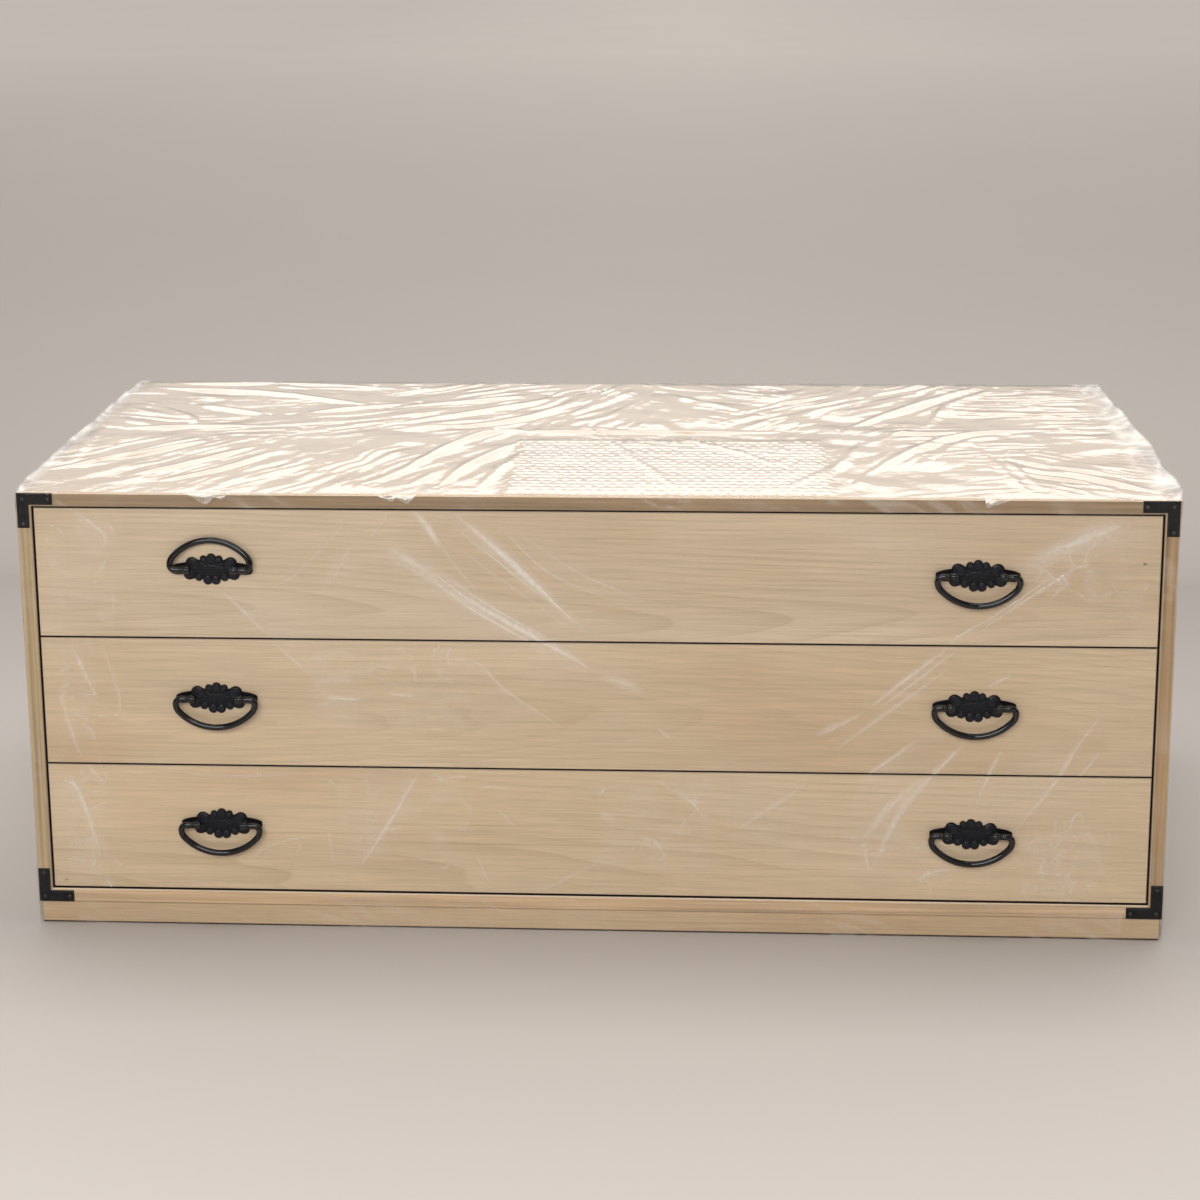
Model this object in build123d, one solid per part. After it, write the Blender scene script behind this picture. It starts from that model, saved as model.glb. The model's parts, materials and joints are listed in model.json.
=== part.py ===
from build123d import *
import math
import os

# Low three-drawer clothing chest of pale paulownia boards, with iron corner brackets, scalloped
# handle plates, drop bails and the clear film that it is wrapped in.
# Millimetres. +Z up, the front faces -Y, the origin is on the floor under the middle of the case.

os.makedirs("parts", exist_ok=True)

# ---- Case ----
case_width = 1050.0
case_depth = 450.0
case_height = 400.0
board = 13.0
back_thickness = 7.0
back_rabbet = 6.0
outer_arris = 0.7
mouth_chamfer = 1.0
finger_width = 50.0
dust_thickness = 10.0
dust_housing = 4.0

# ---- Plinth ----
plinth_height = 22.0
plinth_board = 18.0
plinth_setback = 2.0
stretcher_width = 60.0

# ---- Drawers ----
front_gap = 1.5
front_recess = 1.5
front_thickness = 16.0
front_lip = 7.0
front_arris = 0.7
side_thickness = 9.0
bottom_thickness = 6.0
runner_clearance = 0.3
side_headroom = 3.0
stop_clearance = 0.5
drawer_back_gap = 8.0
drawer_finger_width = 22.0

# ---- Wooden pegs ----
peg_diameter = 2.4
peg_length = 20.0
peg_clearance = 0.05
peg_pitch = 95.0

# ---- Corner brackets and their nails ----
bracket_leg = 33.0
bracket_width = 11.0
bracket_thickness = 1.2
nail_head = 3.2
nail_head_height = 0.9
nail_shank = 1.5
nail_length = 9.0
nail_end_inset = 4.0

# ---- Handles: plate, eye posts and bail ----
handle_inset = 162.5
handle_rise = 6.0
plate_thickness = 1.5
plate_boss_height = 1.2
wing_half_width = 38.0
wing_half_height = 6.4
wing_square_height = 8.0
wing_corner_radius = 3.8
hinge_standoff = 8.0
eye_centre = 22.0
eye_width = 7.0
eye_diameter = 7.6
stem_diameter = 4.6
clinch_diameter = 9.0
clinch_thickness = 1.0
tenon_diameter = 3.4
pin_clearance = 0.1
shoulder_clearance = 0.3
bar_diameter = 5.8
bail_half_width = 36.8
bail_drop = 27.4
bail_corner_radius = 5.0
bail_side_radius = 11.0
bail_face_gap = 0.6

# ---- Wrapping film and the bubble sheet under it ----
film = 0.3
film_clearance = 0.3
film_hem = 3.0
film_edge_margin = 0.5
film_hole_half_width = 43.0
film_hole_half_height = 20.0
bubble_thickness = 3.0
bubble_x_low = -75.0
bubble_x_high = 215.0
bubble_depth = 185.0

# ---- Names ----
drawer_names = ["top", "middle", "bottom"]
drawer_count = len(drawer_names)
sides = {"left": -1, "right": 1}

# ---- Places that follow from the sizes ----
half_width = case_width / 2
y_front = -case_depth / 2
y_back = case_depth / 2
z_case = plinth_height
z_top = plinth_height + case_height
mouth_half = half_width - board
mouth_low = z_case + board
mouth_high = z_top - board
y_drawer = y_front + front_recess
y_front_inside = y_drawer + front_thickness
y_dust_front = y_front_inside + stop_clearance
y_back_inside = y_back - back_thickness
front_half = mouth_half - front_gap
front_height = (mouth_high - mouth_low - (drawer_count + 1) * front_gap) / drawer_count
pitch = front_height + front_gap
y_hinge = y_drawer - hinge_standoff
bail_swing_in = hinge_standoff - bar_diameter / 2 - film - film_clearance - bail_face_gap
bail_lean = math.asin(bail_swing_in / bail_drop)


def save(name, shape):
    export_step(shape, f"parts/{name}.step")


def group(solids):
    """Separate solids kept together as one sub-part."""
    return Compound(children=list(solids))


def block(x_low, x_high, y_low, y_high, z_low, z_high):
    centre = Pos((x_low + x_high) / 2, (y_low + y_high) / 2, (z_low + z_high) / 2)
    return centre * Box(x_high - x_low, y_high - y_low, z_high - z_low)


def rod(start, end, diameter):
    """A round bar between two points that differ along one axis."""
    path = Vector(*end) - Vector(*start)
    plane = Plane(origin=start, z_dir=path)
    return extrude(plane * Circle(diameter / 2), amount=path.length)


def finger_spans(low, high, width):
    """An odd number of equal spans, so that a corner begins and ends with the same board."""
    count = 2 * max(1, round((high - low) / width / 2)) + 1
    step = (high - low) / count
    return [(low + i * step, low + (i + 1) * step) for i in range(count)]


def spread(low, high, spacing):
    """Evenly spaced places from low to high, about one spacing apart."""
    count = max(2, round((high - low) / spacing) + 1)
    return [low + (high - low) * i / (count - 1) for i in range(count)]


# ---- Case boards ----

def case_envelope():
    """The outer shape of the case, whose arrises are eased."""
    outer = block(-half_width, half_width, y_front, y_back, z_case, z_top)
    return chamfer(outer.edges(), outer_arris)


def mouth_flare():
    """The chamfer that runs round the inner front edge of the case."""
    height = mouth_high - mouth_low
    middle = (mouth_high + mouth_low) / 2
    outer = Plane(origin=(0, y_front, middle), x_dir=(1, 0, 0), z_dir=(0, -1, 0))
    inner = outer.offset(-mouth_chamfer)
    wide = outer * Rectangle(2 * (mouth_half + mouth_chamfer), height + 2 * mouth_chamfer)
    narrow = inner * Rectangle(2 * mouth_half, height)
    return loft([wide, narrow])


def back_blank():
    x = mouth_half + back_rabbet
    return block(-x, x, y_back_inside, y_back, mouth_low - back_rabbet, mouth_high + back_rabbet)


def dust_blank(centre):
    x = mouth_half + dust_housing
    half = dust_thickness / 2
    return block(-x, x, y_dust_front, y_back_inside, centre - half, centre + half)


def dust_centres():
    """Heights of the panels between drawers, each behind the gap between two fronts."""
    first = mouth_high - front_gap / 2 - pitch
    return [first - i * pitch for i in range(drawer_count - 1)]


def side_fingers(side):
    """Where the side board runs through the top and bottom boards at one corner."""
    inner = side * mouth_half
    outer = side * half_width
    x_low, x_high = min(inner, outer), max(inner, outer)
    spans = finger_spans(y_front, y_back, finger_width)[::2]
    return [(x_low, x_high, y_low, y_high) for y_low, y_high in spans]


def flat_panel(z_low, z_high):
    """Top or bottom board, notched for the fingers of both sides."""
    panel = block(-half_width, half_width, y_front, y_back, z_low, z_high)
    for side in sides.values():
        for span in side_fingers(side):
            panel -= block(*span, z_low, z_high)
    return panel


def side_panel(side):
    """Side board with fingers at both ends and housings for the dust panels."""
    inner = side * mouth_half
    outer = side * half_width
    x_low, x_high = min(inner, outer), max(inner, outer)
    panel = block(x_low, x_high, y_front, y_back, mouth_low, mouth_high)
    for span in side_fingers(side):
        panel += block(*span, z_case, z_top)
    return panel


def back_peg_places():
    """Pegs that hold the back panel to the boards around it and to the dust panels."""
    x_edge = mouth_half + back_rabbet / 2
    z_low = mouth_low - back_rabbet / 2
    z_high = mouth_high + back_rabbet / 2
    places = []
    for x in spread(-x_edge, x_edge, peg_pitch)[1:-1]:
        places += [(x, z_low), (x, z_high)]
        places += [(x, centre) for centre in dust_centres()]
    for z in spread(z_low, z_high, peg_pitch)[1:-1]:
        places += [(-x_edge, z), (x_edge, z)]
    return places


def back_pegs(diameter):
    y_end = y_back - peg_length
    return [rod((x, y_back, z), (x, y_end, z), diameter) for x, z in back_peg_places()]


# ---- Plinth ----

def plinth_parts():
    x = half_width - plinth_setback
    y_low = y_front + plinth_setback
    y_high = y_back - plinth_setback
    x_in = x - plinth_board
    inner = (y_low + plinth_board, y_high - plinth_board)
    half = stretcher_width / 2
    height = (0, plinth_height)
    return {
        "plinth_front": block(-x, x, y_low, inner[0], *height),
        "plinth_back": block(-x, x, inner[1], y_high, *height),
        "plinth_left": block(-x, -x_in, *inner, *height),
        "plinth_right": block(x_in, x, *inner, *height),
        "plinth_stretcher": block(-half, half, *inner, *height),
    }


# ---- Corner brackets ----

def corners():
    """Name, outer corner and the directions in which the bracket's legs run."""
    for level, z, up in (("top", z_top, -1), ("bottom", z_case, 1)):
        for side, sign in sides.items():
            yield f"corner_bracket_{level}_{side}", sign * half_width, z, -sign, up


def bracket_nail_places(x, z, x_dir, z_dir):
    middle = bracket_width / 2
    far = bracket_leg - nail_end_inset
    offsets = [(middle, middle), (far, middle), (middle, far)]
    return [(x + x_dir * a, z + z_dir * b) for a, b in offsets]


def nail_hole(x, z):
    face = y_front - bracket_thickness
    return rod((x, face, z), (x, face + nail_length, z), nail_shank + 2 * peg_clearance)


def bracket_nail(x, z):
    """A nail with a low domed head, turned about its own length."""
    face = y_front - bracket_thickness
    radius = nail_head / 2
    quarter = Pos(radius / 2, -nail_head_height / 2) * Rectangle(radius, nail_head_height)
    profile = Ellipse(radius, nail_head_height) & quarter
    profile += Pos(nail_shank / 4, nail_length / 2) * Rectangle(nail_shank / 2, nail_length)
    plane = Plane(origin=(x, face, z), x_dir=(1, 0, 0), z_dir=(0, 0, 1))
    return revolve(plane * profile, axis=Axis((x, face, z), (0, 1, 0)))


def leg_span(start, direction, length):
    end = start + direction * length
    return min(start, end), max(start, end)


def bracket(x, z, x_dir, z_dir):
    y_span = (y_front - bracket_thickness, y_front)
    x_long = leg_span(x, x_dir, bracket_leg)
    x_short = leg_span(x, x_dir, bracket_width)
    z_long = leg_span(z, z_dir, bracket_leg)
    z_short = leg_span(z, z_dir, bracket_width)
    plate = block(*x_long, *y_span, *z_short) + block(*x_short, *y_span, *z_long)
    for place in bracket_nail_places(x, z, x_dir, z_dir):
        plate -= nail_hole(*place)
    return plate


def build_case():
    envelope = case_envelope()
    flare = mouth_flare()
    back = back_blank()
    dust = {"upper": dust_blank(dust_centres()[0]), "lower": dust_blank(dust_centres()[-1])}
    panels = {
        "top_panel": flat_panel(mouth_high, z_top),
        "bottom_panel": flat_panel(z_case, mouth_low),
        "side_panel_left": side_panel(-1),
        "side_panel_right": side_panel(1),
    }
    peg_holes = back_pegs(peg_diameter + 2 * peg_clearance)
    nail_places = [place for corner in corners() for place in bracket_nail_places(*corner[1:])]
    nail_holes = [nail_hole(*place) for place in nail_places]
    for name, panel in panels.items():
        panel = (panel & envelope) - flare - back
        for blank in dust.values():
            panel -= blank
        save(name, panel - peg_holes - nail_holes)
    save("back_panel", (back & envelope) - peg_holes)
    for level, blank in dust.items():
        save(f"dust_panel_{level}", blank - peg_holes)
    save("case_pegs", group(back_pegs(peg_diameter)))
    for name, shape in plinth_parts().items():
        save(name, shape)
    for name, *corner in corners():
        save(name, bracket(*corner))
    save("bracket_nails", group(bracket_nail(*place) for place in nail_places))


# ---- Drawers ----

class Drawer:
    """Heights of one drawer, counted from the top of the chest."""

    def __init__(self, index):
        centres = dust_centres()
        half = dust_thickness / 2
        self.name = drawer_names[index]
        self.front_high = mouth_high - front_gap - index * pitch
        self.front_low = self.front_high - front_height
        runway = centres[index] + half if index < drawer_count - 1 else mouth_low
        ceiling = centres[index - 1] - half if index else mouth_high
        self.base = runway + runner_clearance
        self.side_low = self.base + bottom_thickness
        self.side_high = ceiling - side_headroom
        self.hinge = (self.front_low + self.front_high) / 2 + handle_rise
        self.y_back = y_back_inside - drawer_back_gap
        self.y_lip = y_drawer + front_lip

    def side_blank(self, side):
        outer = side * front_half
        inner = side * (front_half - side_thickness)
        span = (min(outer, inner), max(outer, inner))
        return block(*span, self.y_lip, self.y_back, self.side_low, self.side_high)

    def bottom_blank(self):
        return block(-front_half, front_half, self.y_lip, self.y_back, self.base, self.side_low)

    def front_blank(self):
        front = block(-front_half, front_half, y_drawer, y_front_inside, self.front_low, self.front_high)
        edges = front.faces().sort_by(Axis.Y)[0].edges()
        return chamfer(edges, front_arris)

    def corner_fingers(self, side):
        """Where the side board runs through the back board."""
        outer = side * front_half
        inner = side * (front_half - side_thickness)
        span = (min(outer, inner), max(outer, inner))
        y_low = self.y_back - side_thickness
        spans = finger_spans(self.side_low, self.side_high, drawer_finger_width)[::2]
        return [block(*span, y_low, self.y_back, low, high) for low, high in spans]

    def back_board(self):
        y_low = self.y_back - side_thickness
        back = block(-front_half, front_half, y_low, self.y_back, self.side_low, self.side_high)
        for side in sides.values():
            back -= self.corner_fingers(side)
        return back

    def pegs(self, diameter):
        """Pegs up through the bottom board, and in through the sides to the front."""
        x_edge = front_half - side_thickness / 2
        y_edge = self.y_back - side_thickness / 2
        z_end = self.base + peg_length
        y_first = y_front_inside + peg_pitch / 2
        places = [(x, y_edge) for x in spread(-x_edge, x_edge, peg_pitch)[1:-1]]
        for y in spread(y_first, y_edge - peg_pitch / 2, peg_pitch):
            places += [(-x_edge, y), (x_edge, y)]
        pegs = [rod((x, y, self.base), (x, y, z_end), diameter) for x, y in places]
        y_side = (self.y_lip + y_front_inside) / 2
        z_margin = peg_length
        for z in spread(self.side_low + z_margin, self.side_high - z_margin, peg_pitch / 3):
            for side in sides.values():
                start = (side * front_half, y_side, z)
                end = (side * (front_half - peg_length), y_side, z)
                pegs.append(rod(start, end, diameter))
        return pegs

    def save_box(self):
        front = self.front_blank() - self.side_blank(-1) - self.side_blank(1) - self.bottom_blank()
        for side in sides.values():
            for stem in handle_stems(side, self.hinge, stem_diameter + 2 * pin_clearance):
                front -= stem
        holes = self.pegs(peg_diameter + 2 * peg_clearance)
        prefix = f"drawer_{self.name}"
        save(f"{prefix}_front", front - holes)
        save(f"{prefix}_back", self.back_board() - holes)
        save(f"{prefix}_bottom", self.bottom_blank() - holes)
        for word, side in sides.items():
            board_end = self.side_blank(side) - self.back_board()
            save(f"{prefix}_side_{word}", board_end - holes)
        save(f"{prefix}_pegs", group(self.pegs(peg_diameter)))


# ---- Handles ----

# Scallops of the plate round the hinge line: centre x, centre z and radius, mirrored in x.
plate_scallops = [
    (0.0, 9.0, 4.5),
    (7.2, 8.3, 3.3),
    (17.8, 4.0, 6.0),
    (3.7, -11.8, 4.3),
    (12.0, -9.2, 3.5),
    (20.8, -6.4, 5.0),
]
plate_core = (23.0, 10.0, -1.3)
plate_boss = (17.0, 6.0, -1.3)


def handle_x(side):
    return side * (front_half - handle_inset)


def face_plane(side, z, y):
    """Drawing plane on the drawer front, x to the right and z up, facing out of the chest."""
    return Plane(origin=(handle_x(side), y, z), x_dir=(1, 0, 0), z_dir=(0, -1, 0))


def handle_stems(side, z, diameter):
    x = handle_x(side)
    places = (x - eye_centre, x + eye_centre)
    return [rod((c, y_hinge, z), (c, y_front_inside + clinch_thickness, z), diameter) for c in places]


def plate_outline():
    """Pointed wings behind a scalloped middle."""
    shape = Ellipse(wing_half_width, wing_half_height)
    low_wing = RectangleRounded(2 * wing_half_width, wing_square_height, wing_corner_radius)
    shape += Pos(0, wing_square_height / 2 - wing_half_height) * low_wing
    half_x, half_z, centre = plate_core
    shape += Pos(0, centre) * Ellipse(half_x, half_z)
    for x, z, radius in plate_scallops:
        for sign in (-1, 1):
            shape += Pos(sign * x, z) * Circle(radius)
    return shape


def handle_plate(side, z):
    plane = face_plane(side, z, y_drawer)
    plate = extrude(plane * plate_outline(), amount=plate_thickness)
    half_x, half_z, centre = plate_boss
    boss = Pos(0, centre) * Ellipse(half_x, half_z)
    plate += extrude(plane * boss, amount=plate_thickness + plate_boss_height)
    for stem in handle_stems(side, z, stem_diameter + 2 * pin_clearance):
        plate -= stem
    return plate


def handle_posts(side, z):
    """Two eyes on stems that pass through plate and drawer front and are clinched inside."""
    posts = []
    bore = tenon_diameter + 2 * pin_clearance
    for sign in (-1, 1):
        x = handle_x(side) + sign * eye_centre
        half = eye_width / 2
        post = rod((x, y_hinge, z), (x, y_front_inside + clinch_thickness, z), stem_diameter)
        post += rod((x - half, y_hinge, z), (x + half, y_hinge, z), eye_diameter)
        post += rod((x, y_front_inside, z), (x, y_front_inside + clinch_thickness, z), clinch_diameter)
        post -= rod((x - half, y_hinge, z), (x + half, y_hinge, z), bore)
        posts.append(post)
    return group(posts)


def bail_half_path():
    """Right half of the bail's centre line, hanging: out from its shoulder, round and down to the middle."""
    shoulder = eye_centre + eye_width / 2 + shoulder_clearance
    corner = bail_corner_radius
    bend = bail_side_radius
    x_turn = bail_half_width - corner
    run = bail_drop - corner
    reach = bail_half_width - bend
    bow = (reach**2 + run**2 - bend**2) / (2 * (run - bend))
    bow_centre = Vector(0, bow - bail_drop)
    bend_centre = Vector(reach, -corner)
    outward = (bend_centre - bow_centre).normalized()
    join = bow_centre + outward * bow
    bend_middle = bend_centre + (Vector(1, 0) + outward).normalized() * bend
    bow_middle = bow_centre + (Vector(0, -1) + outward).normalized() * bow
    diagonal = corner * math.sqrt(0.5)
    line = Line((shoulder, 0), (x_turn, 0))
    turn = ThreePointArc((x_turn, 0), (x_turn + diagonal, diagonal - corner), (bail_half_width, -corner))
    side_bend = ThreePointArc((bail_half_width, -corner), bend_middle, join)
    half_bow = ThreePointArc(join, bow_middle, (0, -bail_drop))
    return [line, turn, side_bend, half_bow]


def bail(side, z, raised):
    """A round bar with thin ends that turn in the two eyes. It hangs, or lies back against the drawer."""
    plane = face_plane(side, z, y_hinge)
    half_path = bail_half_path()
    start = half_path[0] @ 0
    tenon_end = eye_centre - eye_width / 2 + shoulder_clearance
    section = Plane(origin=(start.X, 0, 0), z_dir=(1, 0, 0)) * Circle(bar_diameter / 2)
    half = sweep(section, path=Wire(half_path))
    half += rod((tenon_end, 0, 0), (start.X, 0, 0), tenon_diameter)
    shape = half + mirror(half, about=Plane.YZ)
    turn = 180 - math.degrees(bail_lean) if raised else 0
    return plane * Rot(turn, 0, 0) * shape


def build_handles(drawer):
    for word, side in sides.items():
        suffix = f"{drawer.name}_{word}"
        raised = suffix == "top_left"
        save(f"handle_plate_{suffix}", handle_plate(side, drawer.hinge))
        save(f"handle_posts_{suffix}", handle_posts(side, drawer.hinge))
        save(f"handle_bail_{suffix}", bail(side, drawer.hinge, raised))


# ---- Film ----

def drawer_film(drawer):
    """Film over one drawer front, open round the two handles."""
    x = front_half - film_edge_margin
    y = y_drawer - film_clearance
    z_low = drawer.front_low + film_edge_margin
    z_high = drawer.front_high - film_edge_margin
    sheet = block(-x, x, y - film, y, z_low, z_high)
    for side in sides.values():
        plane = face_plane(side, drawer.hinge, y)
        hole = plane * Ellipse(film_hole_half_width, film_hole_half_height)
        sheet -= extrude(hole, amount=film)
    return sheet


def film_wrap():
    """Film over the top, sides, back and the frame of the front, with a window for the drawers."""
    x = half_width + film_clearance
    y_low = y_front - bracket_thickness - nail_head_height - film_clearance
    y_high = y_back + film_clearance
    z_high = z_top + bubble_thickness + 2 * film_clearance
    outer = block(-x - film, x + film, y_low - film, y_high + film, film_hem, z_high + film)
    inner = block(-x, x, y_low, y_high, 0, z_high)
    window = block(-mouth_half, mouth_half, y_low - film, y_low, mouth_low, mouth_high)
    return outer - inner - window


def bubble_sheet():
    y_low = y_front + outer_arris
    z_low = z_top + film_clearance
    return block(bubble_x_low, bubble_x_high, y_low, y_low + bubble_depth, z_low, z_low + bubble_thickness)


build_case()
for number in range(drawer_count):
    chest_drawer = Drawer(number)
    chest_drawer.save_box()
    build_handles(chest_drawer)
    save(f"film_drawer_{chest_drawer.name}", drawer_film(chest_drawer))
save("film_wrap", film_wrap())
save("bubble_sheet", bubble_sheet())
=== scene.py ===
"""Wrapped clothing chest: boards, iron fittings, clear film and bubble sheet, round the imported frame."""

import json
import math

import bpy
import numpy as np
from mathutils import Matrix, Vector
from mathutils.geometry import delaunay_2d_cdt


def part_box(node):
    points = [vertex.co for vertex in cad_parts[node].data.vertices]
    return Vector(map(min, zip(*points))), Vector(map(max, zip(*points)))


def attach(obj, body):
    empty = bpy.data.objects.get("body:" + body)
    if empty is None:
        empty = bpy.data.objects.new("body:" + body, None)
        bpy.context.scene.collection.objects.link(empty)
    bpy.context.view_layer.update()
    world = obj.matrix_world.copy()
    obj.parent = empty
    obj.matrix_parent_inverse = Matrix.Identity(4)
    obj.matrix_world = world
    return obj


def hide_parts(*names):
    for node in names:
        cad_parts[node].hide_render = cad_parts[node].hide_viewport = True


bl_info = {
    "name": "Wrapped clothing chest",
    "version": (1, 0, 0),
    "blender": (4, 5, 0),
    "location": "View3D > Sidebar > Chest",
    "description": "Builds a paulownia clothing chest with iron handles, wrapped in clear film",
    "category": "Object",
}

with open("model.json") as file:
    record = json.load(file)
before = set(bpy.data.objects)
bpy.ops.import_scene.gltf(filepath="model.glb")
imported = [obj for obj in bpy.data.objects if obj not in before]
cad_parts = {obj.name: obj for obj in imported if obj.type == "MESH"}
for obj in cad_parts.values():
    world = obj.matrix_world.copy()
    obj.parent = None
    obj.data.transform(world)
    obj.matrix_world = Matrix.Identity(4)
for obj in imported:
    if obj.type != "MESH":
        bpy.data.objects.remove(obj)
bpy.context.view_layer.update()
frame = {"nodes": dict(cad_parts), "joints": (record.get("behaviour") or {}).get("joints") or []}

MM = 0.001
DRAWERS = ("top", "middle", "bottom")
SIDES = {"left": -1, "right": 1}
JOINTS = {joint["name"]: joint for joint in frame["joints"]}

# Places that follow from the frame
CASE_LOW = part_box("bottom_panel")[0]
CASE_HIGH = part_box("top_panel")[1]
CASE_HALF = CASE_HIGH.x
SIDE_THICKNESS = 13.0 * MM
FRONT_Y = CASE_LOW.y
BACK_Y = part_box("back_panel")[1].y
TOP_Z = CASE_HIGH.z
MOUTH_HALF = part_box("side_panel_right")[1].x - SIDE_THICKNESS
MOUTH_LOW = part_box("bottom_panel")[1].z
MOUTH_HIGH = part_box("top_panel")[0].z
DRAWER_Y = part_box("drawer_top_front")[0].y

# The same places in millimetres
HALF = CASE_HALF / MM
FRONT = FRONT_Y / MM
BACK = BACK_Y / MM
TOP = TOP_Z / MM
FOOT = CASE_LOW.z / MM
MOUTH = MOUTH_HALF / MM
MOUTH_FLOOR = MOUTH_LOW / MM
MOUTH_ROOF = MOUTH_HIGH / MM


# ---- Settings ----


def colour_setting(name, description, value):
    return bpy.props.FloatVectorProperty(name=name, description=description, subtype="COLOR", size=3,
                                         min=0, max=1, default=value)


def share_setting(name, description, value):
    return bpy.props.FloatProperty(name=name, description=description, subtype="FACTOR", min=0, max=1,
                                   default=value)


def length_setting(name, description, low, high, value):
    return bpy.props.FloatProperty(name=name, description=description, subtype="DISTANCE", unit="LENGTH",
                                   min=low, max=high, default=value)


class ChestWood(bpy.types.PropertyGroup):
    front_colour: colour_setting("Drawer fronts", "Colour of the drawer fronts", (0.62, 0.492, 0.338))
    case_colour: colour_setting("Case", "Colour of the case boards", (0.56, 0.42, 0.27))
    edge_colour: colour_setting("Board edges", "Colour of the long edges that face the front",
                                (0.316, 0.2185, 0.129))
    # Painted shade: dark colour given to the wood in the narrow gaps round the drawer fronts, where shade
    # falls.
    gap_shade_colour: colour_setting("Gaps", "Colour of the wood deep in the gaps round the drawer fronts",
                               (0.032, 0.014, 0.010))
    inner_colour: colour_setting("Inner boards", "Colour of the boards inside the case", (0.62, 0.49, 0.34))
    ring_pitch: length_setting("Ring pitch", "Distance between the growth rings", 0.001, 0.02, 0.0055)
    roughness: share_setting("Roughness", "Roughness of the planed boards", 0.58)


class ChestIron(bpy.types.PropertyGroup):
    colour: colour_setting("Iron", "Colour of the lacquered iron", (0.0035, 0.0035, 0.0045))
    roughness: share_setting("Roughness", "Roughness of the lacquered iron", 0.38)
    bar_diameter: length_setting("Bail bar", "Diameter of the bails' bar", 0.003, 0.01, 0.0058)
    plate_thickness: length_setting("Plate thickness", "Thickness of the handle plates", 0.0005, 0.004,
                                    0.0015)


class ChestFilm(bpy.types.PropertyGroup):
    # The creases' white is partly the film's own whitening and partly painted glare.
    colour: colour_setting("Creases", "Colour of the film where creases whiten it", (1.0, 0.93, 0.83))
    haze: share_setting("Haze", "Whiteness of smooth film", 0.006)
    roughness: share_setting("Roughness", "Roughness of the film's gloss", 0.03)
    grid: length_setting("Mesh pitch", "Distance between the points of the film's mesh", 0.001, 0.02, 0.0025)
    bubble_pitch: length_setting("Bubble pitch", "Distance between the bubbles", 0.005, 0.03, 0.011)


class ChestStage(bpy.types.PropertyGroup):
    # Painted shade: the floor's colours are darker round the chest and close behind it than in front and far
    # off.
    floor_near: colour_setting("Floor, front", "Colour of the floor in front of the chest",
                               (0.575, 0.530, 0.495))
    floor_middle: colour_setting("Floor, middle", "Colour of the floor round the chest", (0.48, 0.440, 0.411))
    floor_behind: colour_setting("Floor, behind", "Colour of the floor close behind the chest",
                                 (0.385, 0.348, 0.320))
    floor_far: colour_setting("Floor, far", "Colour of the floor far behind the chest", (0.93, 0.838, 0.770))
    key_power: bpy.props.FloatProperty(
        name="Key lamp", description="Power of the lamp in front", unit="POWER", min=0, default=71.0)
    top_power: bpy.props.FloatProperty(
        name="Top lamp", description="Power of the lamp overhead", unit="POWER", min=0, default=40.0)
    sky: bpy.props.FloatProperty(
        name="Surroundings", description="Strength of the light from all round", min=0, default=2.0)


# ---- Meshes ----


def quad_mesh(name, points, faces, fields=None):
    """Mesh object from an array of points and an array of four-cornered faces."""
    points = np.asarray(points, dtype=np.float32).reshape(-1, 3)
    faces = np.asarray(faces, dtype=np.int32)
    mesh = bpy.data.meshes.new(name)
    mesh.vertices.add(len(points))
    mesh.vertices.foreach_set("co", points.ravel())
    corners = faces.shape[1]
    mesh.loops.add(len(faces) * corners)
    mesh.loops.foreach_set("vertex_index", faces.ravel())
    mesh.polygons.add(len(faces))
    mesh.polygons.foreach_set("loop_start", np.arange(0, len(faces) * corners, corners, dtype=np.int32))
    mesh.update(calc_edges=True)
    mesh.validate()
    mesh.polygons.foreach_set("use_smooth", np.full(len(mesh.polygons), True))
    for field, values in (fields or {}).items():
        attribute = mesh.attributes.new(field, "FLOAT", "POINT")
        attribute.data.foreach_set("value", np.asarray(values, dtype=np.float32).ravel())
    thing = bpy.data.objects.new(name, mesh)
    bpy.context.scene.collection.objects.link(thing)
    return thing


def grid_faces(rows, columns, wrap=False):
    """Faces of a grid of points that was laid out row by row; wrap joins its last column to its first."""
    last = columns if wrap else columns - 1
    row, column = np.meshgrid(np.arange(rows - 1), np.arange(last), indexing="ij")
    right = (column + 1) % columns
    here = row * columns + column
    beside = row * columns + right
    return np.stack([here, beside, beside + columns, here + columns], -1).reshape(-1, 4)


def welded(points, faces):
    """The same surface with points that lie in one place made one."""
    keys = np.round(np.asarray(points) / (0.002 * MM)).astype(np.int64)
    _, first, where = np.unique(keys, axis=0, return_index=True, return_inverse=True)
    return np.asarray(points)[first], where.reshape(-1)[faces]


def packed(faces):
    """Numbers of the points that faces use, and the faces counted over those points alone."""
    used, local = np.unique(faces, return_inverse=True)
    return used, local.reshape(faces.shape)


def tube(path, radii, segments=24):
    """Points and faces of a round bar that follows a path in a plane of constant y, with its ends left open.
    """
    path = np.asarray(path, float)
    radii = np.asarray(radii, float)
    along = np.gradient(path, axis=0)
    along /= np.linalg.norm(along, axis=1)[:, None]
    out = np.array([0.0, 1.0, 0.0])
    side = np.cross(along, out)
    turn = np.linspace(0, 2 * math.pi, segments, endpoint=False)
    ring = side[:, None, :] * np.cos(turn)[None, :, None] + out[None, None, :] * np.sin(turn)[None, :, None]
    points = path[:, None, :] + ring * radii[:, None, None]
    faces = grid_faces(len(path), segments, wrap=True)
    return points.reshape(-1, 3), faces


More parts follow.
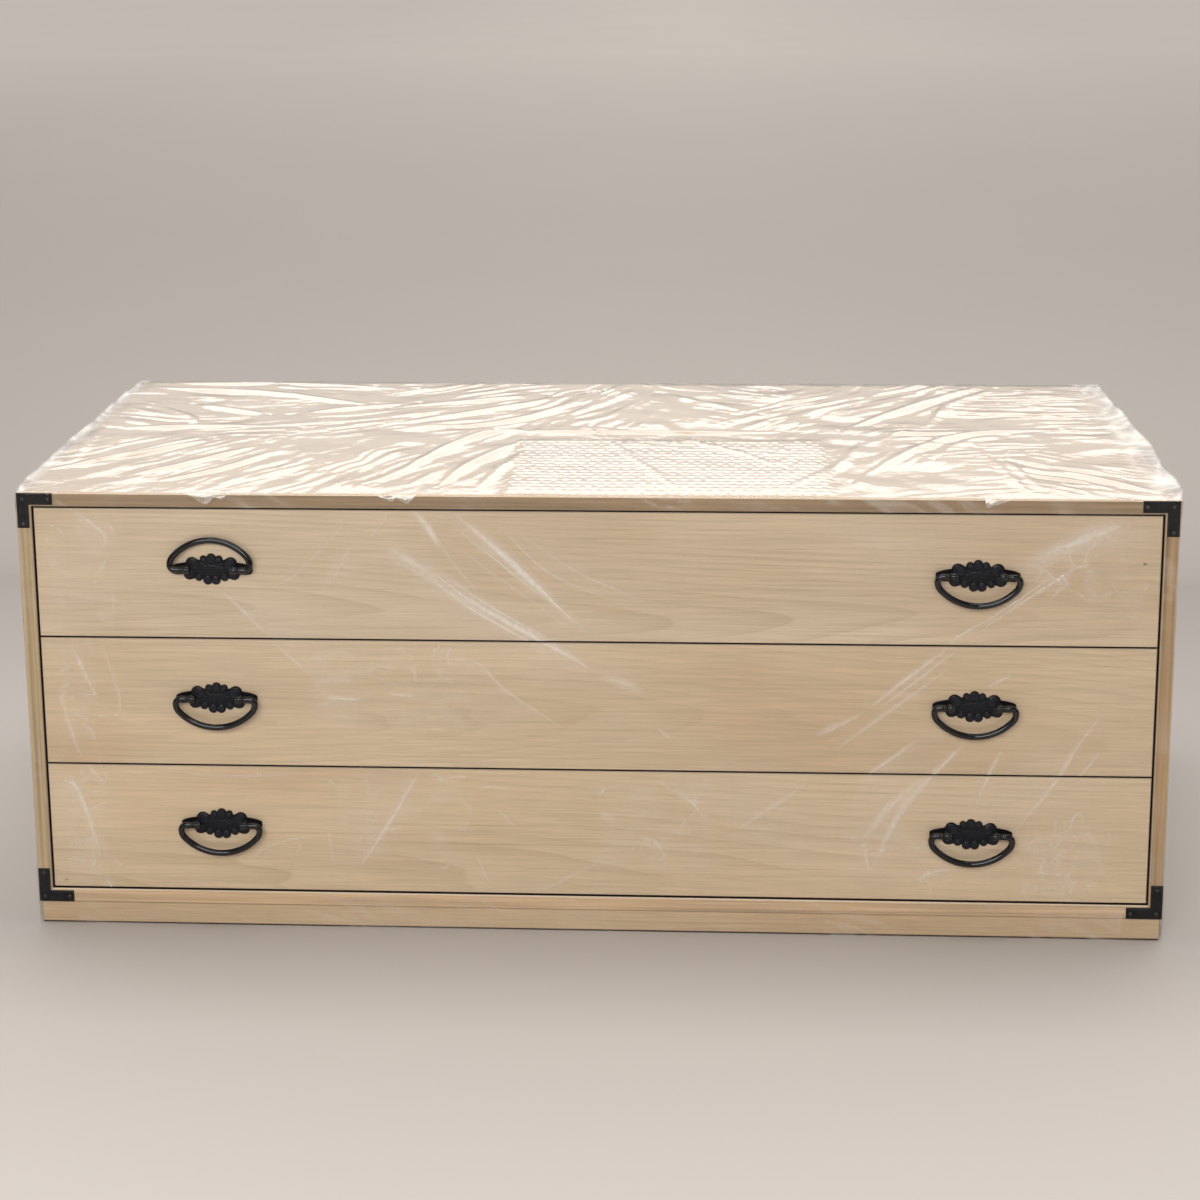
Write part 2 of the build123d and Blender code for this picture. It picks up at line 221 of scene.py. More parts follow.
def lathe(profile, start, axis, segments=32):
    """Points and faces of a turned shape from (distance along the axis, radius) pairs."""
    axis = np.asarray(axis, float)
    helper = np.array([0.0, 0.0, 1.0]) if abs(axis[2]) < 0.9 else np.array([1.0, 0.0, 0.0])
    first = np.cross(axis, helper)
    first /= np.linalg.norm(first)
    second = np.cross(axis, first)
    turn = np.linspace(0, 2 * math.pi, segments, endpoint=False)
    ring = first * np.cos(turn)[:, None] + second * np.sin(turn)[:, None]
    points = [np.asarray(start, float) + axis * along + ring * radius for along, radius in profile]
    return np.concatenate(points), grid_faces(len(profile), segments, wrap=True)


def joined(parts):
    """One set of points and faces from several."""
    points = []
    faces = []
    count = 0
    for part_points, part_faces in parts:
        points.append(part_points)
        faces.append(np.asarray(part_faces) + count)
        count += len(part_points)
    return np.concatenate(points), np.concatenate(faces)


def slab(front, back, faces):
    """Closed solid between two surfaces that have the same faces."""
    count = len(front)
    edges = np.concatenate([faces[:, [0, 1]], faces[:, [1, 2]], faces[:, [2, 3]], faces[:, [3, 0]]])
    ordered = np.sort(edges, axis=1)
    _, first, times = np.unique(ordered, axis=0, return_index=True, return_counts=True)
    rim = edges[first[times == 1]]
    walls = np.stack([rim[:, 1], rim[:, 0], rim[:, 0] + count, rim[:, 1] + count], -1)
    return np.concatenate([front, back]), np.concatenate([faces, faces[:, ::-1] + count, walls])


# ---- Noise for shapes ----


HASH_X = 374761393
HASH_Y = 668265263
HASH_SEED = 974634777
HASH_MIX = 1274126177
# Leans a square grid into one of three-cornered facets.
SKEW = 0.3660254


def chance(i, j, seed):
    """Repeatable random number from 0 to 1 for each pair of whole numbers."""
    mixed = (i * HASH_X + j * HASH_Y + seed * HASH_SEED) & 0xFFFFFFFF
    mixed = ((mixed ^ (mixed >> 13)) * HASH_MIX) & 0xFFFFFFFF
    return ((mixed ^ (mixed >> 16)) & 0xFFFF) / 65535.0


def swell(x, y, seed):
    """Smooth noise from 0 to 1, one unit per hill."""
    i = np.floor(x).astype(np.int64)
    j = np.floor(y).astype(np.int64)
    u = x - i
    v = y - j
    u = u * u * (3 - 2 * u)
    v = v * v * (3 - 2 * v)
    low = chance(i, j, seed) * (1 - u) + chance(i + 1, j, seed) * u
    high = chance(i, j + 1, seed) * (1 - u) + chance(i + 1, j + 1, seed) * u
    return low * (1 - v) + high * v


def facets(x, y, seed):
    """Noise from 0 to 1 made of flat three-cornered facets, as in crumpled film."""
    skew = (x + y) * SKEW
    sx = x + skew
    sy = y + skew
    i = np.floor(sx).astype(np.int64)
    j = np.floor(sy).astype(np.int64)
    u = sx - i
    v = sy - j
    a = chance(i, j, seed)
    b = chance(i + 1, j, seed)
    c = chance(i, j + 1, seed)
    d = chance(i + 1, j + 1, seed)
    lower = a + (b - a) * u + (d - b) * v
    upper = a + (d - c) * u + (c - a) * v
    return np.where(u > v, lower, upper)


def crests(x, y, angle, long, wide, seed, sharp=3.0, waver=1.6):
    """Long sharp wrinkles from 0 to 1 that run at an angle, in degrees."""
    turn = math.radians(angle)
    along = x * math.cos(turn) + y * math.sin(turn)
    across = y * math.cos(turn) - x * math.sin(turn)
    across = across + wide * waver * (swell(along / (3 * wide), across / (4 * wide), seed + 5) - 0.5)
    value = swell(along / long, across / wide, seed)
    return np.clip(1 - np.abs(2 * value - 1), 0, 1) ** sharp


LINE_STEPS = 6


def smooth_line(points):
    """Points of a smooth line through the given ones, with LINE_STEPS steps between each two."""
    points = np.asarray(points, float)
    if len(points) < 3:
        share = np.linspace(0, 1, 2 * LINE_STEPS + 1)[:, None]
        return points[0] + (points[-1] - points[0]) * share
    padded = np.vstack([2 * points[0] - points[1], points, 2 * points[-1] - points[-2]])
    line = []
    for k in range(len(points) - 1):
        a, b, c, d = padded[k:k + 4]
        for t in np.linspace(0, 1, LINE_STEPS, endpoint=False):
            line.append(0.5 * (2 * b + (c - a) * t + (2 * a - 5 * b + 4 * c - d) * t * t
                               + (3 * b - 3 * c + d - a) * t ** 3))
    line.append(points[-1])
    return np.array(line)


def near_line(x, y, line):
    """Distance of points from a line, their share of its length, and 1 behind it or -1 before it."""
    best = np.full(x.shape, 1e9)
    place = np.zeros(x.shape)
    behind = np.zeros(x.shape)
    total = len(line) - 1
    for k in range(total):
        a = line[k]
        d = line[k + 1] - a
        t = np.clip(((x - a[0]) * d[0] + (y - a[1]) * d[1]) / max(d @ d, 1e-12), 0, 1)
        away = np.hypot(x - a[0] - t * d[0], y - a[1] - t * d[1])
        closer = away < best
        best = np.where(closer, away, best)
        place = np.where(closer, (k + t) / total, place)
        cross = (d[0] * (y - a[1]) - d[1] * (x - a[0])) * (1 if d[0] >= 0 else -1)
        behind = np.where(closer, np.sign(cross), behind)
    return best, place, behind


def hump(share, power, trim=0.0):
    """0 at both ends of a line and 1 in its middle, for shares of its length."""
    return np.clip(np.sin(np.clip(share, trim, 1 - trim) * math.pi), 0, 1) ** power


def beside_line(x, y, line, margin):
    """Which points lie in the box round a line, with a margin."""
    low = line.min(0) - margin
    high = line.max(0) + margin
    return (x > low[0]) & (x < high[0]) & (y > low[1]) & (y < high[1])


def inset(x, y, low, high):
    """How far points lie inside a rectangle."""
    return np.minimum(np.minimum(x - low[0], high[0] - x), np.minimum(y - low[1], high[1] - y))


# ---- Materials ----


class Recipe:
    """A material's nodes, added one after another."""

    def __init__(self, name):
        self.material = bpy.data.materials.new(name)
        self.material.use_nodes = True
        self.tree = self.material.node_tree
        self.tree.nodes.clear()

    def add(self, kind, inputs=None, **settings):
        node = self.tree.nodes.new(kind)
        for key, value in settings.items():
            setattr(node, key, value)
        for key, value in (inputs or {}).items():
            self.feed(node.inputs[key], value)
        return node

    def feed(self, socket, value):
        if isinstance(value, bpy.types.NodeSocket):
            self.tree.links.new(value, socket)
        elif isinstance(value, (tuple, list)) and len(value) == 3 and socket.type == "RGBA":
            socket.default_value = (*value, 1.0)
        else:
            socket.default_value = value

    def math(self, operation, a, b=0.0, c=0.0, clamp=False):
        node = self.add("ShaderNodeMath", {0: a, 1: b, 2: c}, operation=operation, use_clamp=clamp)
        return node.outputs[0]

    def plus(self, a, b):
        return self.math("ADD", a, b)

    def times(self, a, b):
        return self.math("MULTIPLY", a, b)

    def absolute(self, a):
        return self.math("ABSOLUTE", a)

    def length(self, a, b):
        return self.math("SQRT", self.plus(self.times(a, a), self.times(b, b)))

    def mix(self, share, a, b, blend="MIX"):
        node = self.add("ShaderNodeMix", data_type="RGBA", blend_type=blend)
        self.feed(node.inputs["Factor"], share)
        self.feed(node.inputs["A"], a)
        self.feed(node.inputs["B"], b)
        return node.outputs["Result"]

    def shaded(self, tone, level):
        """The tone made brighter or darker by a level."""
        return self.mix(1.0, tone, self.vector(level, level, level), "MULTIPLY")

    def span(self, value, low, high, to_low=0.0, to_high=1.0):
        node = self.add("ShaderNodeMapRange", {"Value": value, "From Min": low, "From Max": high,
                                               "To Min": to_low, "To Max": to_high})
        return node.outputs[0]

    def noise(self, place, scale, detail=2.0, roughness=0.5, distortion=0.0):
        node = self.add("ShaderNodeTexNoise", {"Vector": place, "Scale": scale, "Detail": detail,
                                               "Roughness": roughness, "Distortion": distortion})
        return node.outputs["Fac"]

    def place(self):
        return self.add("ShaderNodeTexCoord").outputs["Object"]

    def field(self, name):
        """A value that the mesh carries."""
        return self.add("ShaderNodeAttribute", attribute_type="GEOMETRY", attribute_name=name).outputs["Fac"]

    def facing(self):
        return self.add("ShaderNodeTexCoord").outputs["Normal"]

    def vector(self, x, y, z):
        return self.add("ShaderNodeCombineXYZ", {"X": x, "Y": y, "Z": z}).outputs[0]

    def parts(self, vector):
        node = self.add("ShaderNodeSeparateXYZ", {"Vector": vector})
        return [node.outputs[k] for k in range(3)]

    def stretched(self, place, scales):
        return self.add("ShaderNodeMapping", {"Vector": place, "Scale": scales}).outputs[0]

    def grain(self, place, along, across, detail, roughness=0.5, distortion=0.0):
        """Noise drawn out along a board's grain."""
        drawn = self.stretched(place, (along, across, across))
        return self.noise(drawn, 1.0, detail, roughness, distortion)

    def bump(self, height, strength, distance):
        node = self.add("ShaderNodeBump", {"Height": height, "Strength": strength, "Distance": distance})
        return node.outputs[0]

    def surface(self, shader):
        self.add("ShaderNodeOutputMaterial", {"Surface": shader})
        return self.material

    def solid(self, inputs):
        """The finished material, where one opaque shader is all of it."""
        return self.surface(self.add("ShaderNodeBsdfPrincipled", inputs).outputs[0])


# How deep the shade in the narrow gaps round the drawer fronts reaches, and how high the one at the floor.
GAP_DEPTH = 7.0 * MM
FOOT_SHADE = 1.9 * MM
# How far shades reach past the opening's edges and below the case.
RIM = 1.0 * MM
# Painted highlight: pale colour along the rounded arrises, where edges catch the light.
ARRIS_HIGHLIGHT_COLOUR = (0.80, 0.69, 0.53)
KNOT_COLOUR = (0.05, 0.035, 0.022)
GRAIN_ORDER = {"X": (0, 1, 2), "Y": (1, 0, 2), "Z": (2, 1, 0)}


def tinted(colour, *shares):
    """A colour with its three parts multiplied by three shares, or all by one."""
    return tuple(v * k for v, k in zip(colour, shares * (3 // len(shares))))


def wood(name, colour, grain="X", offset=(0.0, 0.0, 0.0), edge=None, gap_shade=None, warmth=0.0, contrast=1.0,
         heart=(0.05, 0.055), tilt=0.04, arris_share=0.55, gap_arris=0.35, foot_shadow=None, head_shadow=None, knots=()):
    """Planed wood: rings cut by the board's face, fine fibre, pores, broad tones and darker end grain.

    heart and tilt place the tree's middle behind the board's face. edge is the colour of the edge that faces
    the front. The other three are colours of painted shade: deep in the narrow gaps round the drawers, a
    contact shadow at the floor (foot), and a shadow under the case (head).
    """
    wood_settings = bpy.context.scene.chest_wood
    r = Recipe(name)
    raw = r.parts(r.place())
    order = GRAIN_ORDER[grain]
    along, deep, across = [r.plus(raw[k], shift) for k, shift in zip(order, offset)]
    place = r.vector(along, deep, across)

    slow = r.grain(place, 0.9, 3.0, 1.0)
    drift = r.grain(place, 3.0, 26.0, 2.0, 0.55)
    ring_across = r.plus(r.math("SUBTRACT", across, heart[0]), r.times(slow, 0.09))
    ring_deep = r.plus(r.times(along, tilt), heart[1])
    away = r.plus(r.length(ring_across, ring_deep), r.times(drift, 0.010))
    saw = r.math("FRACT", r.times(away, 1.0 / wood_settings.ring_pitch))
    late = r.math("POWER", saw, 3.0)
    early = r.math("LESS_THAN", saw, 0.02)
    ring = r.math("MAXIMUM", late, r.times(early, 0.4))
    ring = r.times(ring, r.span(r.grain(place, 1.4, 18.0, 1.0), 0.35, 0.75, 0.15, 1.0))

    fibre = r.grain(place, 16.0, 700.0, 3.0, 0.65, 0.3)
    streak = r.grain(place, 5.0, 75.0, 3.0, 0.65, 1.4)
    band = r.grain(place, 1.6, 15.0, 2.0, 0.5, 0.6)
    pore = r.grain(place, 70.0, 1400.0, 1.0)
    tint = r.grain(place, 2.2, 6.0, 3.0)
    line = r.grain(place, 1.6, 300.0, 1.0, 0.5, 0.4)

    pale = tuple(min(1.0, v) for v in tinted(colour, 1.15, 1.16, 1.17))
    brown = tinted(colour, 0.80 + warmth, 0.75, 0.68)
    tone = r.mix(r.span(band, 0.30, 0.72), pale, colour)
    tone = r.mix(r.span(tint, 0.50, 0.66, 0.0, 0.8), tone, tinted(colour, 0.95, 0.88, 0.81))
    tone = r.mix(r.span(tint, 0.48, 0.32, 0.0, 0.7), tone, tinted(colour, 1.07, 1.09, 1.12))
    tone = r.mix(r.times(ring, 0.50 * contrast), tone, brown)
    tone = r.mix(r.span(line, 0.62, 0.76, 0.0, 0.36 * contrast), tone, brown)
    tone = r.mix(r.span(streak, 0.35, 0.65, 0.14 * contrast, 0.0), tone, brown)
    tone = r.shaded(tone, r.span(fibre, 0.3, 0.7, 1.0 - 0.10 * contrast, 1.0 + 0.06 * contrast))
    tone = r.mix(r.span(pore, 0.66, 0.78, 0.0, 0.42), tone, tinted(colour, 0.60))

    normal = r.parts(r.facing())
    end_mask = r.span(r.absolute(normal[order[0]]), 0.75, 0.95)
    ray = r.noise(r.stretched(place, (400.0, 260.0, 900.0)), 1.0, 2.0, 0.6)
    end_tone = r.mix(r.span(ray, 0.3, 0.7), tinted(colour, 0.62), tinted(colour, 0.86))
    tone = r.mix(end_mask, tone, end_tone)
    if edge is not None:
        front_mask = r.span(r.times(normal[1], -1.0), 0.8, 0.97)
        edge_band = r.span(r.grain(place, 6.0, 300.0, 3.0, 0.6), 0.3, 0.7, 0.78, 1.2)
        edge_line = r.span(line, 0.60, 0.74, 1.0, 1.0 - 0.22 * contrast)
        tone = r.mix(front_mask, tone, r.shaded(edge, r.times(edge_band, edge_line)))
    # Painted shade in the narrow gaps: faces turned away from the front, and the arrises there, are darkened
    # just behind the drawer fronts and inside the opening.
    if gap_shade is not None:
        turned = r.plus(r.span(r.absolute(normal[1]), 0.35, 0.15, 0.0, 1.0 - gap_arris),
                        r.span(r.absolute(normal[1]), 0.88, 0.78, 0.0, gap_arris))
        shallow = r.span(raw[1], DRAWER_Y + GAP_DEPTH, DRAWER_Y + 0.5 * GAP_DEPTH)
        within_x = r.span(r.absolute(raw[0]), MOUTH_HALF + RIM, MOUTH_HALF + 0.5 * RIM)
        above = r.span(raw[2], MOUTH_LOW - RIM, MOUTH_LOW - 0.5 * RIM)
        below = r.span(raw[2], MOUTH_HIGH + RIM, MOUTH_HIGH + 0.5 * RIM)
        inside = r.times(r.times(turned, shallow), r.times(within_x, r.times(above, below)))
    biggest = r.math("MAXIMUM", r.absolute(normal[0]), r.absolute(normal[1]))
    biggest = r.math("MAXIMUM", biggest, r.absolute(normal[2]))
    # Painted highlight along the rounded arrises.
    arris = r.span(biggest, 0.97, 0.80)
    tone = r.mix(r.times(arris, arris_share), tone, ARRIS_HIGHLIGHT_COLOUR)
    # Paint in that shade.
    if gap_shade is not None:
        tone = r.mix(inside, tone, gap_shade)
    # Painted contact shadow: the lowest part of the board, where it stands on the floor, is darkened.
    if foot_shadow is not None:
        tone = r.mix(r.span(raw[2], FOOT_SHADE, 0.5 * FOOT_SHADE), tone, foot_shadow)
    # Painted shadow: the top of the plinth, under the overhanging case, is darkened.
    if head_shadow is not None:
        tone = r.mix(r.span(raw[2], CASE_LOW.z - 2.0 * RIM, CASE_LOW.z - RIM, 0.0, 0.8), tone, head_shadow)
    for knot_x, knot_z, radius in knots:
        dx = r.times(r.math("SUBTRACT", raw[0], knot_x * MM), 0.6)
        dz = r.math("SUBTRACT", raw[2], knot_z * MM)
        away = r.length(dx, dz)
        tone = r.mix(r.span(away, 3.5 * radius * MM, 0.8 * radius * MM, 0.0, 0.35), tone, brown)
        tone = r.mix(r.span(away, radius * MM, 0.4 * radius * MM, 0.0, 0.85), tone, KNOT_COLOUR)

    rough = r.span(fibre, 0.2, 0.8, wood_settings.roughness - 0.06, wood_settings.roughness + 0.10)
    relief = r.plus(r.times(fibre, 0.6), r.times(ring, -0.5))
    return r.solid({"Base Color": tone, "Roughness": rough, "Specular IOR Level": 0.35,
                    "Normal": r.bump(relief, 0.25, 0.0004)})


# Size and depth of the lacquer's grit, its tone where it is worn, and the bluer painted highlight on raised
# relief.
IRON_GRAIN = 0.0009
IRON_DEPTH = 0.00008
WORN_COLOUR = (0.016, 0.013, 0.012)
RELIEF_HIGHLIGHT_COLOUR = (0.016, 0.017, 0.024)


def black_iron(name="plate_iron", specular=0.16, coat=0.07):
    """Black lacquer over cast or hammered iron, with a bluer painted highlight where the mesh's raised value
    is high.
    """
    known = bpy.data.materials.get(name)
    if known is not None:
        return known
    s = bpy.context.scene.chest_iron
    colour = tuple(s.colour)
    r = Recipe(name)
    place = r.place()
    raised = r.field("raised")
    cloud = r.noise(place, 180.0, 3.0, 0.6)
    grit = r.noise(place, 1.0 / IRON_GRAIN, 3.0, 0.6)
    worn = r.noise(place, 60.0, 2.0, 0.5)
    tone = r.mix(r.span(cloud, 0.35, 0.7), colour, tuple(v * 1.8 + 0.002 for v in colour))
    tone = r.mix(r.span(worn, 0.62, 0.8, 0.0, 0.4), tone, WORN_COLOUR)
    # Painted highlight on raised relief.
    tone = r.mix(raised, tone, RELIEF_HIGHLIGHT_COLOUR)
    rough = r.span(cloud, 0.3, 0.7, s.roughness - 0.08, s.roughness + 0.12)
    return r.solid({"Base Color": tone, "Roughness": rough, "Specular IOR Level": specular,
                    "Coat Weight": coat, "Coat Roughness": 0.05, "Normal": r.bump(grit, 0.45, IRON_DEPTH)})


def bail_iron():
    return black_iron("bail_iron", 0.0, 1.0)


# Share of the light that one face of the film throws back when seen straight on.
FILM_GLOSS = 0.035


def film_material(name, ripple, haze=None, roughness=None, white_and_glare_share=0.75, gloss_share=1.0):
    """Clear film: two glossy surfaces, faint haze, and white where the mesh's whiteness value is high, which
    is partly the film's own whitening where creased and partly painted glare.
    """
    s = bpy.context.scene.chest_film
    haze = s.haze if haze is None else haze
    roughness = s.roughness if roughness is None else roughness
    r = Recipe(name)
    place = r.place()
    fold = r.field("fold")
    soft = r.noise(place, 38.0, 3.0, 0.6, 0.4)
    fine = r.noise(place, 260.0, 2.0, 0.5, 0.3)
    normal = r.bump(r.plus(soft, r.times(fine, 0.18)), ripple, 0.004)
    facing = r.add("ShaderNodeLayerWeight", {"Blend": 0.5, "Normal": normal}).outputs["Facing"]
    single = r.plus(r.times(r.math("POWER", facing, 5.0), 1.0 - FILM_GLOSS), FILM_GLOSS)
    double = r.math("DIVIDE", r.times(single, 2.0 * gloss_share), r.plus(single, 1.0), clamp=True)
    clear = r.add("ShaderNodeBsdfTransparent", {"Color": (1.0, 1.0, 1.0)})
    gloss = r.add("ShaderNodeBsdfPrincipled", {
        "Base Color": (1.0, 1.0, 1.0), "Metallic": 1.0, "Roughness": roughness, "Normal": normal})
    skin = r.add("ShaderNodeMixShader", {0: double, 1: clear.outputs[0], 2: gloss.outputs[0]})
    cloud = r.span(r.noise(place, 170.0, 4.0, 0.7), 0.3, 0.72, 0.78, 1.16)
    milk_and_glare = r.math("ADD", r.times(r.times(fold, white_and_glare_share), cloud), haze, clamp=True)
    white = r.add("ShaderNodeBsdfPrincipled", {
        "Base Color": tuple(s.colour), "Roughness": 0.32, "Specular IOR Level": 0.6, "Normal": normal})
    whole = r.add("ShaderNodeMixShader", {0: milk_and_glare, 1: skin.outputs[0], 2: white.outputs[0]})
    return r.surface(whole.outputs[0])


# ---- Boards ----


def paint(node, material):
    """The node's own mesh with a new material."""
    thing = frame["nodes"][node]
    thing.data.materials.clear()
    thing.data.materials.append(material)


class CHEST_OT_boards(bpy.types.Operator):
    """Gives each board of the case and the drawers its own planed wood"""

    bl_idname = "chest.boards"
    bl_label = "Boards"

    def execute(self, context):
        s = context.scene.chest_wood
        front = tuple(s.front_colour)
        case = tuple(s.case_colour)
        edge = tuple(s.edge_colour)
        inner = tuple(s.inner_colour)
        # Colour of the painted shade in the gaps. It is also used for the painted contact shadow at the
        # plinth's foot.
        gap_shade = tuple(s.gap_shade_colour)
        top_colour = tinted(case, 0.96, 0.98, 1.08)
        paint("top_panel", wood("top_board_wood", top_colour, "X", (0.3, 0.02, 0.7), edge=edge, gap_shade=gap_shade,
                                heart=(0.1, 0.5), arris_share=0.3, gap_arris=0.9))
        paint("bottom_panel", wood("bottom_board_wood", case, "X", (1.7, 0.0, 0.2),
                                   edge=tinted(edge, 2.09, 2.13, 2.21), gap_shade=gap_shade, gap_arris=0.0))
        for side, place, contrast, tone in (("left", (0.9, 0.4, 0.1), 1.2, tinted(edge, 1.57, 1.67, 1.62)),
                                            ("right", (0.2, 0.7, 0.8), 2.2, tinted(edge, 1.33, 1.26, 1.10))):
            paint(f"side_panel_{side}", wood(f"side_board_wood_{side}", case, "Z", place, edge=tone, gap_shade=gap_shade,
                                             warmth=0.08, contrast=contrast, arris_share=0.3, gap_arris=0.6))
        # Painted light: the plinth's wood is 12% lighter than the case's, to make up for the shade under the
        # case.
        plinth_colour = tinted(case, 1.12)
        # The plinth's foot and head are darkened: a painted contact shadow at the floor and a painted shadow
        # under the case.
        plinth = wood("plinth_wood", plinth_colour, "X", (2.3, 0.1, 0.5), warmth=0.06, contrast=1.3, foot_shadow=gap_shade,
                      head_shadow=edge)
        plinth_side = wood("plinth_side_wood", plinth_colour, "Y", (0.6, 0.2, 0.9), warmth=0.06, foot_shadow=gap_shade,
                           head_shadow=edge)
        along = wood("inner_wood_along", inner, "X", (0.1, 0.3, 1.9))
        deep = wood("inner_wood_deep", inner, "Y", (0.7, 0.1, 1.2))
        pegs = wood("peg_wood", tinted(case, 0.8), "Y", (0.2, 0.6, 0.4))
        for material, nodes in ((plinth, ("plinth_front", "plinth_back")),
                                (plinth_side, ("plinth_left", "plinth_right", "plinth_stretcher")),
                                (along, ("back_panel", "dust_panel_upper", "dust_panel_lower")),
                                (pegs, ("case_pegs",))):
            for node in nodes:
                paint(node, material)
        warm = tinted(front, 1.0, 0.965, 0.915)
        fronts = {
            "top": wood("front_wood_top", front, "X", (0.15, 0.02, -0.30), gap_shade=gap_shade, contrast=1.3,
                        heart=(0.065, 0.030), tilt=0.045, knots=((496, 363, 1.3),)),
            "middle": wood("front_wood_middle", warm, "X", (1.35, 0.03, 0.11), gap_shade=gap_shade, contrast=1.3,
                           heart=(0.36, 0.035), tilt=-0.05),
            # Painted light: the bottom front's wood is made 5% lighter, to make up for the lamps' light
            # falling off toward it.
            "bottom": wood("front_wood_bottom", tinted(warm, 1.05), "X", (2.85, 0.01, 0.73), gap_shade=gap_shade,
                           contrast=1.3, heart=(0.80, 0.050), tilt=0.03, knots=((-499, 43, 0.9),)),
        }
        for drawer in DRAWERS:
            for part, material in (("front", fronts[drawer]), ("back", along), ("bottom", along),
                                   ("side_left", deep), ("side_right", deep), ("pegs", pegs)):
                paint(f"drawer_{drawer}_{part}", material)
        return {"FINISHED"}


# ---- Iron ----

BRACKET_LEG = 33.0
BRACKET_WIDTH = 11.0


def hinges():
    """Drawer, side and hinge place of each of the six handles."""
    for drawer in DRAWERS:
        for side in SIDES:
            yield drawer, side, JOINTS[f"bail_{drawer}_{side}_hinge"]["pos_m"]


class CHEST_OT_corner_brackets(bpy.types.Operator):
    """Builds the four bevelled corner brackets, and blackens their nails"""

    bl_idname = "chest.corner_brackets"
    bl_label = "Corner brackets"

    THICK = 1.2
    BEVEL = 1.1
    STEP = 0.5

    def relief(self, u, v):
        """Height of the plate at u and v from its outer edges, in millimetres."""
        inner_u = np.where(v < BRACKET_WIDTH, BRACKET_LEG - u, BRACKET_WIDTH - u)
        inner_v = np.where(u < BRACKET_WIDTH, BRACKET_LEG - v, BRACKET_WIDTH - v)
        both = (u < BRACKET_WIDTH) & (v < BRACKET_WIDTH)
        corner = np.hypot(BRACKET_WIDTH - u, BRACKET_WIDTH - v)
        inside = np.where(both, corner, np.minimum(inner_u, inner_v))
        rim = np.clip(np.minimum(np.minimum(u, v), inside), 0, None)
        rise = np.sin(np.clip(rim / self.BEVEL, 0, 1) * math.pi / 2)
        groove = np.exp(-((u - v) / 0.55) ** 2) * (np.maximum(u, v) < BRACKET_WIDTH + 0.4)
        hammer = swell(u / 2.6, v / 2.6, 41) - 0.5
        return self.THICK * (0.45 + 0.55 * rise) - 0.32 * groove + 0.10 * hammer * rise

    def execute(self, context):
        count = int(round(BRACKET_LEG / self.STEP)) + 1
        steps = np.linspace(0, BRACKET_LEG, count)
        u, v = np.meshgrid(steps, steps, indexing="ij")
        faces = grid_faces(count, count)
        middle_u = u.ravel()[faces].mean(1)
        middle_v = v.ravel()[faces].mean(1)
        used, faces = packed(faces[(middle_u < BRACKET_WIDTH) | (middle_v < BRACKET_WIDTH)])
        u = u.ravel()[used]
        v = v.ravel()[used]
        height = self.relief(u, v)
        nearest = np.minimum(u, v)
        both = (u < BRACKET_WIDTH) & (v < BRACKET_WIDTH)
        rim = np.minimum(nearest, np.where(both, 9.0, BRACKET_WIDTH - nearest))
        # Painted glint along the bevel's rim, with scattered bluish speckles, carried as the raised value.
        raised = np.exp(-((rim - 0.9) / 0.6) ** 2) * 0.5 + 0.35 * swell(u / 3.1, v / 2.3, 43) ** 3
        for level, up in (("top", -1), ("bottom", 1)):
            for side, sign in SIDES.items():
                low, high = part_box(f"corner_bracket_{level}_{side}")
                x0 = high.x if sign > 0 else low.x
                z0 = high.z if up < 0 else low.z
                x = x0 - sign * u * MM
                z = z0 + up * v * MM
                front = np.stack([x, FRONT_Y - height * MM, z], -1)
                back = np.stack([x, np.full_like(x, FRONT_Y), z], -1)
                turned = faces if sign * up > 0 else faces[:, ::-1]
                points, walls = slab(front, back, turned)
                name = f"bracket_{level}_{side}"
                piece = quad_mesh(name, points, walls, {"raised": np.concatenate([raised, raised])})
                piece.data.materials.append(black_iron("bracket_iron", 0.09, 0.05))
                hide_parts(f"corner_bracket_{level}_{side}")
                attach(piece, "case")
        paint("bracket_nails", black_iron("nail_iron", 0.5, 0.7))
        return {"FINISHED"}


# Scallops of the handle plate: centre x, centre z and radius in millimetres, mirrored in x.
SCALLOPS = ((0.0, 9.0, 4.5), (7.2, 8.3, 3.3), (17.8, 4.0, 6.0), (3.7, -11.8, 4.3), (12.0, -9.2, 3.5),
            (20.8, -6.4, 5.0))
# Its folded middle and the boss on it: half width, half height and centre z.
CORE = (23.0, 10.0, -1.3)
BOSS = (17.0, 6.0, -1.3)
# Its flat wings: an oval's half sizes, and a block's half width, top, and z and radius of its round ends.
WING = (38.0, 6.4)
WING_BLOCK = (34.2, 1.6, -2.4, 3.8)
# Distance of the eye posts from the handle's middle.
EYE_CENTRE = 22.0
# Radius at the closed ends of turned shapes.
CLOSED = 0.02


def exit_distance(dx, dz, centre, half, start):
    """How far a ray from start goes before it leaves an oval, or 0 where it misses it."""
    px = (start[0] - centre[0]) / half[0]
    pz = (start[1] - centre[1]) / half[1]
    qx = dx / half[0]
    qz = dz / half[1]
    a = qx * qx + qz * qz
    b = px * qx + pz * qz
    c = px * px + pz * pz - 1
    inside = b * b - a * c
    far = (-b + np.sqrt(np.clip(inside, 0, None))) / a
    return np.where((inside > 0) & (far > 0), far, 0)


